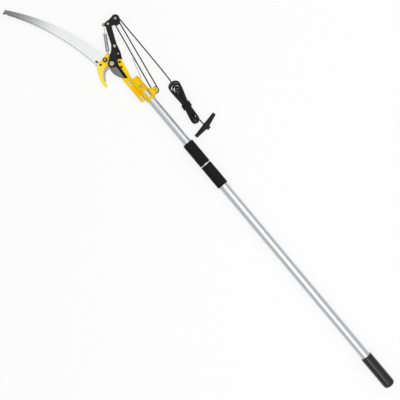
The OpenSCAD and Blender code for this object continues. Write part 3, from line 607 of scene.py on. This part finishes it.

# %% [markdown]
# ** Yellow enamel.** The head is pressed steel under gloss enamel: a warm yellow with a faint orange-peel
# in the gloss, rubbed along its edges. Painted light makes it brighter on the arm, and a painted
# highlight makes it palest out on the hook. One change of tone goes with X and the other one with Y,
# because the hook stands out sideways.
# The peel is drawn at 2 mm, coarser than life.

# %% Yellow enamel
PANEL_END_MM, ARM_START_MM = 70, 110
HOOK_FROM_MM, HOOK_TO_MM = 28, 62
yellow_enamel, tree, shader = start_material("Yellow enamel on steel")
place = add(tree, "ShaderNodeTexCoord").outputs["Object"]
film = add(tree, "ShaderNodeTexNoise", {"Vector": place, "Scale": per_mm(45), "Detail": 2})
scuff = add(tree, "ShaderNodeTexNoise", {"Vector": place, "Scale": per_mm(6), "Detail": 6})
peel = add(tree, "ShaderNodeTexNoise", {"Vector": place, "Scale": per_mm(2), "Detail": 1})
spot = add(tree, "ShaderNodeSeparateXYZ", {"Vector": place})
panel_end, arm_start = placed(PANEL_END_MM, 0).x, placed(ARM_START_MM, 0).x
# Painted light: brighter towards the arm; painted highlight: palest out on the hook
arm_light = add(
    tree,
    "ShaderNodeMapRange",
    {"Value": spot.outputs["X"], "From Min": panel_end, "From Max": arm_start},
    interpolation_type="SMOOTHSTEP",
)
hook_from, hook_to = placed(0, HOOK_FROM_MM).y, placed(0, HOOK_TO_MM).y
hook_highlight = add(
    tree,
    "ShaderNodeMapRange",
    {"Value": spot.outputs["Y"], "From Min": hook_from, "From Max": hook_to},
    interpolation_type="SMOOTHSTEP",
)
film_depth = add(
    tree, "ShaderNodeMapRange", {"Value": film.outputs["Fac"], "From Min": 0.35, "From Max": 0.65}
)
thick_tone = add(
    tree,
    "ShaderNodeMix",
    {FACTOR: film_depth.outputs["Result"], COLOUR_A: linear("#eebc00"), COLOUR_B: linear("#f8d000")},
    data_type="RGBA",
)
arm_lit_tone = add(
    tree,
    "ShaderNodeMix",
    {FACTOR: arm_light.outputs["Result"], COLOUR_A: thick_tone.outputs[MIXED], COLOUR_B: linear("#fdd500")},
    data_type="RGBA",
)
tone = add(
    tree,
    "ShaderNodeMix",
    {FACTOR: hook_highlight.outputs["Result"], COLOUR_A: arm_lit_tone.outputs[MIXED], COLOUR_B: linear("#fae450")},
    data_type="RGBA",
)
edges = edges_for_wear_and_highlight(tree, 0.98, 0.8)
rubbed = add(tree, "ShaderNodeMath", {0: edges, 1: scuff.outputs["Fac"]}, operation="MULTIPLY")
colour = add(
    tree,
    "ShaderNodeMix",
    {FACTOR: rubbed.outputs[0], COLOUR_A: tone.outputs[MIXED], COLOUR_B: linear("#b98a00")},
    data_type="RGBA",
)
tree.links.new(colour.outputs[MIXED], shader.inputs["Base Color"])
gloss = add(tree, "ShaderNodeMapRange", {"Value": scuff.outputs["Fac"], "To Min": 0.28, "To Max": 0.42})
tree.links.new(gloss.outputs["Result"], shader.inputs["Roughness"])
height = peel.outputs["Fac"]
dimple = add(tree, "ShaderNodeBump", {"Height": height, "Strength": 0.05, "Distance": 0.3 * MM})
tree.links.new(dimple.outputs["Normal"], shader.inputs["Normal"])
shader.inputs["Specular IOR Level"].default_value = 0.12
print("made", yellow_enamel.name)

# %% [markdown]
# ** Charcoal enamel.** The lever and the pulley block's cheeks are steel under satin black paint, with a
# fine texture and pale sharp edges: worn paint where it is thinnest, and partly a painted highlight.
# Matt pigment at the surface weakens the reflection, so the specular level is below the usual half.

# %% Charcoal enamel
charcoal_enamel, tree, shader = start_material("Charcoal enamel on steel")
place = add(tree, "ShaderNodeTexCoord").outputs["Object"]
grit = add(tree, "ShaderNodeTexNoise", {"Vector": place, "Scale": per_mm(1.2), "Detail": 3})
cloud = add(tree, "ShaderNodeTexNoise", {"Vector": place, "Scale": per_mm(14), "Detail": 5})
tone = add(
    tree,
    "ShaderNodeMix",
    {FACTOR: cloud.outputs["Fac"], COLOUR_A: linear("#0e0e0f"), COLOUR_B: linear("#202021")},
    data_type="RGBA",
)
edges = edges_for_wear_and_highlight(tree, 0.97, 0.8)
# Pale edges: worn paint, and partly a painted highlight along the sharp edges
worn_and_highlit = add(tree, "ShaderNodeMath", {0: edges, 1: cloud.outputs["Fac"]}, operation="MULTIPLY")
colour = add(
    tree,
    "ShaderNodeMix",
    {FACTOR: worn_and_highlit.outputs[0], COLOUR_A: tone.outputs[MIXED], COLOUR_B: linear("#8d8f92")},
    data_type="RGBA",
)
tree.links.new(colour.outputs[MIXED], shader.inputs["Base Color"])
gloss = add(tree, "ShaderNodeMapRange", {"Value": cloud.outputs["Fac"], "To Min": 0.4, "To Max": 0.58})
tree.links.new(gloss.outputs["Result"], shader.inputs["Roughness"])
height = grit.outputs["Fac"]
dimple = add(tree, "ShaderNodeBump", {"Height": height, "Strength": 0.12, "Distance": 0.3 * MM})
tree.links.new(dimple.outputs["Normal"], shader.inputs["Normal"])
shader.inputs["Specular IOR Level"].default_value = 0.2
print("made", charcoal_enamel.name)

# %% [markdown]
# **Black oxide.** The rear plate, the arm's rivet, the stop pin and the saw's washer, stud and key are
# chemically blackened steel: still metal, dark and a little oily, so it is a half metallic shader with a
# dark colour and a cloudy roughness.

# %% Black oxide
black_oxide, tree, shader = start_material("Black oxide steel")
place = add(tree, "ShaderNodeTexCoord").outputs["Object"]
cloud = add(tree, "ShaderNodeTexNoise", {"Vector": place, "Scale": per_mm(9), "Detail": 6})
tone = add(
    tree,
    "ShaderNodeMix",
    {FACTOR: cloud.outputs["Fac"], COLOUR_A: linear("#080809"), COLOUR_B: linear("#1b1b1d")},
    data_type="RGBA",
)
tree.links.new(tone.outputs[MIXED], shader.inputs["Base Color"])
gloss = add(tree, "ShaderNodeMapRange", {"Value": cloud.outputs["Fac"], "To Min": 0.35, "To Max": 0.55})
tree.links.new(gloss.outputs["Result"], shader.inputs["Roughness"])
shader.inputs["Metallic"].default_value = 0.5
shader.inputs["Specular IOR Level"].default_value = 0.3
print("made", black_oxide.name)

# %% [markdown]
# ** Ground steel.** The hook's edge and the cutting blade are hardened steel off the grinder: mid grey,
# and paler on the hook, with fine parallel scratches, which are noise stretched along one direction and
# drawn at 0.8 mm to show. The blade has a second zone: along its back it is coloured black. A second
# material slot would follow the triangles, so a Mapping node of the Texture type measures in millimetres
# from a line on the blade instead, and the sign of the distance picks the zone.

# %% Ground steel
BACK_LINE = ((-9, -12), (-45.5, -32.5))
SCRATCH_WIDE_MM, SCRATCH_LONG_MM = 0.8, 25


def ground_steel(name, dark, light):
    material, tree, shader = start_material(name)
    place = add(tree, "ShaderNodeTexCoord").outputs["Object"]
    fineness = (per_mm(SCRATCH_WIDE_MM), per_mm(SCRATCH_LONG_MM), per_mm(SCRATCH_WIDE_MM))
    squeezed = add(tree, "ShaderNodeMapping", {"Vector": place, "Scale": fineness})
    scratch = add(tree, "ShaderNodeTexNoise", {"Vector": squeezed.outputs["Vector"], "Scale": 1, "Detail": 4})
    stain = add(tree, "ShaderNodeTexNoise", {"Vector": place, "Scale": per_mm(12), "Detail": 5})
    tone = add(
        tree,
        "ShaderNodeMix",
        {FACTOR: scratch.outputs["Fac"], COLOUR_A: linear(dark), COLOUR_B: linear(light)},
        data_type="RGBA",
    )
    tree.links.new(tone.outputs[MIXED], shader.inputs["Base Color"])
    gloss = add(tree, "ShaderNodeMapRange", {"Value": stain.outputs["Fac"], "To Min": 0.32, "To Max": 0.5})
    tree.links.new(gloss.outputs["Result"], shader.inputs["Roughness"])
    height = scratch.outputs["Fac"]
    dimple = add(tree, "ShaderNodeBump", {"Height": height, "Strength": 0.15, "Distance": 0.2 * MM})
    tree.links.new(dimple.outputs["Normal"], shader.inputs["Normal"])
    shader.inputs["Metallic"].default_value = 1
    print("made", name)
    return material, tree, shader, place, tone


hook_edge_steel, *_ = ground_steel("Ground tool steel", "#8f9091", "#c2c2c2")
blade_look = ground_steel("Ground blade steel with a black back", "#666769", "#8f9092")
blade_steel, tree, shader, place, tone = blade_look
back_from, back_to = (placed(*along_line(PIVOT, LEVER_ANGLE, *end)) for end in BACK_LINE)
back_turn = math.atan2(back_to.y - back_from.y, back_to.x - back_from.x)
from_back = add(
    tree,
    "ShaderNodeMapping",
    {"Vector": place, "Location": back_from, "Rotation": (0, 0, back_turn), "Scale": (MM, MM, MM)},
    vector_type="TEXTURE",
)
beyond = add(tree, "ShaderNodeSeparateXYZ", {"Vector": from_back.outputs["Vector"]}).outputs["Y"]
# Black past the line along the blade's back
black_back = add(tree, "ShaderNodeMapRange", {"Value": beyond, "From Min": -0.5, "From Max": 0.5})
colour = add(
    tree,
    "ShaderNodeMix",
    {FACTOR: black_back.outputs["Result"], COLOUR_A: tone.outputs[MIXED], COLOUR_B: linear("#1c1c1d")},
    data_type="RGBA",
)
tree.links.new(colour.outputs[MIXED], shader.inputs["Base Color"])

# %% [markdown]
# ** Saw steel.** The saw is rolled and polished strip: bright, with faint lines along it, and painted
# darker grey towards the tip as a painted reflection. The same kind of Mapping gives the distance from the
# saw's root. A strip along the teeth is painted darker, as painted shade. The teeth's tips stand on a
# parabola, which Math nodes work out from the share of the saw's length, and what lies about a tooth's
# depth inside it is grey, darker where the painted reflection darkens the tip.

# %% Saw steel
SAW_ROOT = (190, 42)
SAW_ANGLE = math.radians(23.7)
TIP_REFLECTION_FROM_MM, TIP_REFLECTION_TO_MM = 135, 305
SAW_MM, SAW_ROOT_WIDE_MM, SAW_TIP_WIDE_MM, SAW_BOW_MM = 315, 43, 15, 18
TOOTH_DEEP_MM = 4
LINE_LONG_MM, LINE_WIDE_MM = 70, 1.5
saw_steel, tree, shader = start_material("Polished saw steel")
place = add(tree, "ShaderNodeTexCoord").outputs["Object"]
from_root = add(
    tree,
    "ShaderNodeMapping",
    {"Vector": place, "Location": placed(*SAW_ROOT), "Rotation": (0, 0, SAW_ANGLE), "Scale": (MM, MM, MM)},
    vector_type="TEXTURE",
)
fineness = (1 / LINE_LONG_MM, 1 / LINE_WIDE_MM, 1 / LINE_WIDE_MM)
squeezed = add(tree, "ShaderNodeMapping", {"Vector": from_root.outputs["Vector"], "Scale": fineness})
lines = add(tree, "ShaderNodeTexNoise", {"Vector": squeezed.outputs["Vector"], "Scale": 1, "Detail": 4})
cloud = add(tree, "ShaderNodeTexNoise", {"Vector": place, "Scale": per_mm(60), "Detail": 3})
tone = add(
    tree,
    "ShaderNodeMix",
    {FACTOR: lines.outputs["Fac"], COLOUR_A: linear("#e9eaeb"), COLOUR_B: linear("#f7f7f8")},
    data_type="RGBA",
)
spot = add(tree, "ShaderNodeSeparateXYZ", {"Vector": from_root.outputs["Vector"]})
# Painted reflection: darker grey towards the saw's tip
tip_reflection = add(
    tree,
    "ShaderNodeMapRange",
    {"Value": spot.outputs["X"], "From Min": TIP_REFLECTION_FROM_MM, "From Max": TIP_REFLECTION_TO_MM},
    interpolation_type="SMOOTHSTEP",
)
with_tip_reflection = add(
    tree,
    "ShaderNodeMix",
    {FACTOR: tip_reflection.outputs["Result"], COLOUR_A: tone.outputs[MIXED], COLOUR_B: linear("#868788")},
    data_type="RGBA",
)
share = add(tree, "ShaderNodeMath", {0: spot.outputs["X"], 1: SAW_MM}, operation="DIVIDE").outputs[0]
bow, fall = 4 * SAW_BOW_MM, (SAW_TIP_WIDE_MM - SAW_ROOT_WIDE_MM) / 2
slope = add(tree, "ShaderNodeMath", {0: share, 1: bow, 2: fall - bow}, operation="MULTIPLY_ADD").outputs[0]
tips = add(tree, "ShaderNodeMath", {0: slope, 1: share, 2: SAW_ROOT_WIDE_MM / 2}, operation="MULTIPLY_ADD")
inside = add(tree, "ShaderNodeMath", {0: tips.outputs[0], 1: spot.outputs["Y"]}, operation="SUBTRACT")
grey_from, grey_to = 1.4 * TOOTH_DEEP_MM, 0.9 * TOOTH_DEEP_MM
# Painted shade: a darker strip along the toothed edge
teeth_shade = add(
    tree, "ShaderNodeMapRange", {"Value": inside.outputs[0], "From Min": grey_from, "From Max": grey_to}
).outputs["Result"]
teeth_shade_tone = add(
    tree,
    "ShaderNodeMix",
    {FACTOR: tip_reflection.outputs["Result"], COLOUR_A: linear("#b6b7b8"), COLOUR_B: linear("#3c3d3e")},
    data_type="RGBA",
)
colour = add(
    tree,
    "ShaderNodeMix",
    {FACTOR: teeth_shade, COLOUR_A: with_tip_reflection.outputs[MIXED], COLOUR_B: teeth_shade_tone.outputs[MIXED]},
    data_type="RGBA",
)
tree.links.new(colour.outputs[MIXED], shader.inputs["Base Color"])
gloss = add(tree, "ShaderNodeMapRange", {"Value": cloud.outputs["Fac"], "To Min": 0.24, "To Max": 0.36})
tree.links.new(gloss.outputs["Result"], shader.inputs["Roughness"])
height = lines.outputs["Fac"]
dimple = add(tree, "ShaderNodeBump", {"Height": height, "Strength": 0.05, "Distance": 0.2 * MM})
tree.links.new(dimple.outputs["Normal"], shader.inputs["Normal"])
shader.inputs["Metallic"].default_value = 1
print("made", saw_steel.name)

# %% [markdown]
# **Zinc plate.** Bolts, nuts, rivets and the spring are zinc plated, with the faint spangle of the zinc's
# crystals, which is a Voronoi pattern. Four sorts show: bright on the frame's rivets, weathered on most
# bolts and nuts, dull on the drawn wire, and the yellow sort, like pale brass, on the pivot bolt and the
# lever's bolt and pin. The crystals are drawn at 1.5 mm and on the yellow sort at 3 mm, so that they
# show.

# %% Zinc plate
def zinc(name, dark, light, crystal_mm, smooth, rough):
    material, tree, shader = start_material(name)
    place = add(tree, "ShaderNodeTexCoord").outputs["Object"]
    spangle = add(tree, "ShaderNodeTexVoronoi", {"Vector": place, "Scale": per_mm(crystal_mm)})
    cloud = add(tree, "ShaderNodeTexNoise", {"Vector": place, "Scale": per_mm(4), "Detail": 4})
    tone = add(
        tree,
        "ShaderNodeMix",
        {FACTOR: spangle.outputs["Distance"], COLOUR_A: linear(light), COLOUR_B: linear(dark)},
        data_type="RGBA",
    )
    tree.links.new(tone.outputs[MIXED], shader.inputs["Base Color"])
    haze = cloud.outputs["Fac"]
    gloss = add(tree, "ShaderNodeMapRange", {"Value": haze, "To Min": smooth, "To Max": rough})
    tree.links.new(gloss.outputs["Result"], shader.inputs["Roughness"])
    shader.inputs["Metallic"].default_value = 1
    print("made", name)
    return material


bright_zinc = zinc("Bright zinc plate", "#b4b5b5", "#f4f4f2", 1.5, 0.2, 0.36)
weathered_zinc = zinc("Weathered zinc plate", "#6c6961", "#c4c2ba", 1.5, 0.3, 0.46)
yellow_zinc = zinc("Yellow zinc plate", "#2f2418", "#fff4e2", 3, 0.2, 0.36)
spring_zinc = zinc("Zinc plated spring wire", "#a6a7a8", "#d8d8d8", 1.5, 0.3, 0.46)

# %% [markdown]
# **Drawn aluminium.** Both tubes are drawn through a die, which leaves hairlines along them. An anisotropic
# shader could stretch the highlight, but the lines themselves show too, as a small change of tone and a
# slight relief. So they are a noise that is stretched 300 mm long and drawn 0.7 mm wide, coarser than
# life. Handling dulls the metal in soft patches. The pale ring of the lock has the same finish.

# %% Drawn aluminium
HAIRLINE_LONG_MM, HAIRLINE_WIDE_MM = 300, 0.7
drawn_aluminium, tree, shader = start_material("Drawn aluminium")
place = add(tree, "ShaderNodeTexCoord").outputs["Object"]
fineness = (per_mm(HAIRLINE_LONG_MM), per_mm(HAIRLINE_WIDE_MM), per_mm(HAIRLINE_WIDE_MM))
squeezed = add(tree, "ShaderNodeMapping", {"Vector": place, "Scale": fineness})
lines = add(tree, "ShaderNodeTexNoise", {"Vector": squeezed.outputs["Vector"], "Scale": 1, "Detail": 3})
handled = add(tree, "ShaderNodeTexNoise", {"Vector": place, "Scale": per_mm(50), "Detail": 4})
tone = add(
    tree,
    "ShaderNodeMix",
    {FACTOR: lines.outputs["Fac"], COLOUR_A: linear("#c8cacd"), COLOUR_B: linear("#d8dadc")},
    data_type="RGBA",
)
tree.links.new(tone.outputs[MIXED], shader.inputs["Base Color"])
gloss = add(tree, "ShaderNodeMapRange", {"Value": handled.outputs["Fac"], "To Min": 0.34, "To Max": 0.44})
tree.links.new(gloss.outputs["Result"], shader.inputs["Roughness"])
height = lines.outputs["Fac"]
dimple = add(tree, "ShaderNodeBump", {"Height": height, "Strength": 0.02, "Distance": 0.2 * MM})
tree.links.new(dimple.outputs["Normal"], shader.inputs["Normal"])
shader.inputs["Metallic"].default_value = 1
print("made", drawn_aluminium.name)

# %% [markdown]
# **Nylon and rubber.** Pulleys, pull handle and the pieces inside the pole are moulded black nylon with a
# spark-eroded grain. The grips are black rubber, matt and a little dusty, and the end cap is a smoother
# rubber with a soft highlight. All are made in the same way, so one function takes their colours, grain
# and gloss. The grain is drawn at 1 to 2 mm, so that it shows.

# %% Nylon and rubber
def moulded(name, dark, light, grain_mm, grain_strength, smooth, rough, reflects):
    material, tree, shader = start_material(name)
    place = add(tree, "ShaderNodeTexCoord").outputs["Object"]
    grain = add(tree, "ShaderNodeTexNoise", {"Vector": place, "Scale": per_mm(grain_mm), "Detail": 2})
    dust = add(tree, "ShaderNodeTexNoise", {"Vector": place, "Scale": per_mm(20), "Detail": 6})
    tone = add(
        tree,
        "ShaderNodeMix",
        {FACTOR: dust.outputs["Fac"], COLOUR_A: linear(dark), COLOUR_B: linear(light)},
        data_type="RGBA",
    )
    tree.links.new(tone.outputs[MIXED], shader.inputs["Base Color"])
    gloss = add(tree, "ShaderNodeMapRange", {"Value": dust.outputs["Fac"], "To Min": smooth, "To Max": rough})
    tree.links.new(gloss.outputs["Result"], shader.inputs["Roughness"])
    height = grain.outputs["Fac"]
    dimple = add(tree, "ShaderNodeBump", {"Height": height, "Strength": grain_strength, "Distance": 0.3 * MM})
    tree.links.new(dimple.outputs["Normal"], shader.inputs["Normal"])
    shader.inputs["Specular IOR Level"].default_value = reflects
    print("made", name)
    return material


black_nylon = moulded("Moulded black nylon", "#0c0c0d", "#1c1c1d", 1.1, 0.15, 0.35, 0.5, 0.25)
grip_rubber = moulded("Moulded grip rubber", "#050506", "#101011", 1.6, 0.15, 0.4, 0.55, 0.16)
cap_rubber = moulded("Smooth black rubber", "#020203", "#08080a", 1.2, 0.05, 0.2, 0.27, 0.55)

# %% [markdown]
# ** Braided cord.** Black nylon yarn braided eight ways. Modelling each yarn would take far too many
# faces, so two sets of sine bands cross over the tube, one rising and one falling, and where they meet
# the higher one shows. The dips between the yarns are painted darker as painted shade, and the crests
# lighter as painted highlight. The turn round the cord and the length along it come from the UV map of
# the sweep.
# The bands are drawn 2.4 mm long.

# %% Braided cord
BRAID_PITCH_MM = 2.4
BRAID_YARNS = 4
braided_cord, tree, shader = start_material("Braided black nylon cord")
uv = add(tree, "ShaderNodeUVMap", uv_map="along").outputs["UV"]
split = add(tree, "ShaderNodeSeparateXYZ", {"Vector": uv})
yarns, pitches = math.tau * BRAID_YARNS, math.tau / BRAID_PITCH_MM
around = add(tree, "ShaderNodeMath", {0: split.outputs["X"], 1: yarns}, operation="MULTIPLY").outputs[0]
lengthwise = add(tree, "ShaderNodeMath", {0: split.outputs["Y"], 1: pitches}, operation="MULTIPLY").outputs[0]
bands = []
for operation in ("ADD", "SUBTRACT"):
    slanted = add(tree, "ShaderNodeMath", {0: around, 1: lengthwise}, operation=operation)
    bands.append(add(tree, "ShaderNodeMath", {0: slanted.outputs[0]}, operation="SINE").outputs[0])
braid = add(tree, "ShaderNodeMath", {0: bands[0], 1: bands[1]}, operation="MAXIMUM").outputs[0]
height = add(tree, "ShaderNodeMapRange", {"Value": braid, "From Min": -1}).outputs["Result"]
# Painted shade in the dips between yarns, painted highlight on their crests
tone = add(
    tree,
    "ShaderNodeMix",
    {FACTOR: height, COLOUR_A: linear("#060606"), COLOUR_B: linear("#262627")},
    data_type="RGBA",
)
tree.links.new(tone.outputs[MIXED], shader.inputs["Base Color"])
dimple = add(tree, "ShaderNodeBump", {"Height": height, "Strength": 0.4, "Distance": 0.4 * MM})
tree.links.new(dimple.outputs["Normal"], shader.inputs["Normal"])
shader.inputs["Roughness"].default_value = 0.55
shader.inputs["Specular IOR Level"].default_value = 0.2
print("made", braided_cord.name)

# %% [markdown]
# ## Dressing the solids
#
# CAD solids have knife-sharp edges, and real ones don't: a small bevel on each edge catches the light.
# The flat faces arrive as triangles, so a planar decimate joins them first. Weighted normals then keep
# the flat faces flat.

# %% Dress the CAD solids
FLAT_ANGLE, EDGE_ANGLE = math.radians(1), math.radians(35)


def dress(names, material, bevel_mm):
    for name in names:
        piece = nodes[name]
        piece.data.materials.clear()
        piece.data.materials.append(material)
        piece.data.polygons.foreach_set("use_smooth", [True] * len(piece.data.polygons))
        flat = piece.modifiers.new("join flat faces", "DECIMATE")
        flat.decimate_type = "DISSOLVE"
        flat.angle_limit = FLAT_ANGLE
        soft = piece.modifiers.new("soft edges", "BEVEL")
        soft.width = bevel_mm * MM
        soft.segments = 2
        soft.limit_method = "ANGLE"
        soft.angle_limit = EDGE_ANGLE
        even = piece.modifiers.new("even normals", "WEIGHTED_NORMAL")
        even.keep_sharp = True


dress(["head_plate", "pole_clamp", "guide_bracket"], yellow_enamel, 0.6)
dress(["lever_bar", "front_cheek", "rear_cheek"], charcoal_enamel, 0.3)
dress(["lever_rear", "saw_washer", "saw_stud", "saw_key", "blade_stop", "arm_rivet"], black_oxide, 0.25)
dress(["hook_blade"], hook_edge_steel, 0.15)
dress(["cutting_blade"], blade_steel, 0.15)
dress(["saw_blade"], saw_steel, 0.12)
dress(["frame_rivets", "lever_spacer"], bright_zinc, 0.35)
dress(["clamp_bolt", "clamp_nut", "guide_pin", "pivot_nut", "lever_nut"], weathered_zinc, 0.3)
dress(["saw_fixing", "saw_wing_nut", "block_pin"], weathered_zinc, 0.3)
dress(["keeper_wire"], spring_zinc, 0.1)
dress(["pivot_bolt", "lever_pin", "lever_bolt"], yellow_zinc, 0.4)
dress(["lower_tube", "upper_tube", "lock_ring"], drawn_aluminium, 0.2)
dress(["guide_pulley", "block_pulley", "pull_handle"], black_nylon, 0.3)
dress(["lock_collet", "slide_bush", "tube_plug"], black_nylon, 0.3)
dress(["end_cap"], cap_rubber, 0.5)
for piece in (collar_grip, body_grip):
    piece.data.materials.append(grip_rubber)
for piece in [pull_cord, hank_tie, handle_knot, *strands.values()]:
    piece.data.materials.append(braided_cord)
return_spring.data.materials.append(spring_zinc)
print("dressed", sum(1 for piece in nodes.values() if not piece.hide_render), "CAD solids")

# %% [markdown]
# ## Floor, light and sky
#
# The tool lies on a plain white table. More light would bleach the tool along with the table, so the
# floor itself shows white to the camera and in reflections, and still takes the tool's shadow. Two things
# light the tool: a sky that is bright overhead and greyer near the horizon, which draws the grey bands
# along the tubes' sides, and one long soft box to the right of the camera, nearly upright in the picture.
# The soft box crosses the pole's direction, so its highlight wanders from one side of the pole to the
# other along its length.

# %% Floor
FLOOR_M = 8
FLOOR_GAP_MM = 0.3
FLOOR_GLOW = 0.8
half = FLOOR_M / 2
corners = [(-half, -half, 0), (half, -half, 0), (half, half, 0), (-half, half, 0)]
floor_mesh = bpy.data.meshes.new("floor")
floor_mesh.from_pydata(corners, [], [(0, 1, 2, 3)])
floor = bpy.data.objects.new("floor", floor_mesh)
floor.location.z = -FLOOR_GAP_MM * MM
bpy.context.scene.collection.objects.link(floor)
white_table, tree, shader = start_material("White table")
shader.inputs["Base Color"].default_value = linear("#f4f4f4")
shader.inputs["Roughness"].default_value = 0.9
rays = add(tree, "ShaderNodeLightPath").outputs
seen = rays["Is Camera Ray"]
for kind in ("Is Glossy Ray", "Is Transmission Ray"):
    seen = add(tree, "ShaderNodeMath", {0: seen, 1: rays[kind]}, operation="MAXIMUM").outputs[0]
white = add(tree, "ShaderNodeMath", {0: seen, 1: FLOOR_GLOW}, operation="MULTIPLY").outputs[0]
glow = add(tree, "ShaderNodeEmission", {"Color": (1, 1, 1, 1), "Strength": 1}).outputs["Emission"]
mixed = add(tree, "ShaderNodeMixShader", {0: white, 1: shader.outputs["BSDF"], 2: glow})
out = next(n for n in tree.nodes if n.type == "OUTPUT_MATERIAL")
tree.links.new(mixed.outputs["Shader"], out.inputs["Surface"])
floor_mesh.materials.append(white_table)
print("floor:", FLOOR_M, "m square")

# %% Sky and soft box
world = bpy.data.worlds.new("studio sky")
bpy.context.scene.world = world
world.use_nodes = True
tree = world.node_tree
tree.nodes.clear()
upward = add(tree, "ShaderNodeSeparateXYZ", {"Vector": add(tree, "ShaderNodeTexCoord").outputs["Generated"]})
rise = add(tree, "ShaderNodeMapRange", {"Value": upward.outputs["Z"], "From Max": 0.9})
sky = add(
    tree,
    "ShaderNodeMix",
    {FACTOR: rise.outputs["Result"], COLOUR_A: linear("#9a9a9a"), COLOUR_B: linear("#fafafa")},
    data_type="RGBA",
)
light = add(tree, "ShaderNodeBackground", {"Color": sky.outputs[MIXED], "Strength": 1})
add(tree, "ShaderNodeOutputWorld", {"Surface": light.outputs["Background"]})

BOX_WIDE_M, BOX_LONG_M = 0.55, 4.2
BOX_WATTS = 24
BOX_AT_MM = (-850, -350, 2600)
BOX_TURN = math.radians(-15.5)
soft_box = bpy.data.lights.new("long soft box", "AREA")
soft_box.shape = "RECTANGLE"
soft_box.size, soft_box.size_y = BOX_WIDE_M, BOX_LONG_M
soft_box.energy = BOX_WATTS
lamp = bpy.data.objects.new("long soft box", soft_box)
lamp.matrix_world = Matrix.Translation(placed(*BOX_AT_MM)) @ turned @ Matrix.Rotation(BOX_TURN, 4, "Z")
bpy.context.scene.collection.objects.link(lamp)
bpy.context.scene.view_settings.view_transform = "Standard"
print("soft box:", soft_box.energy, "W")
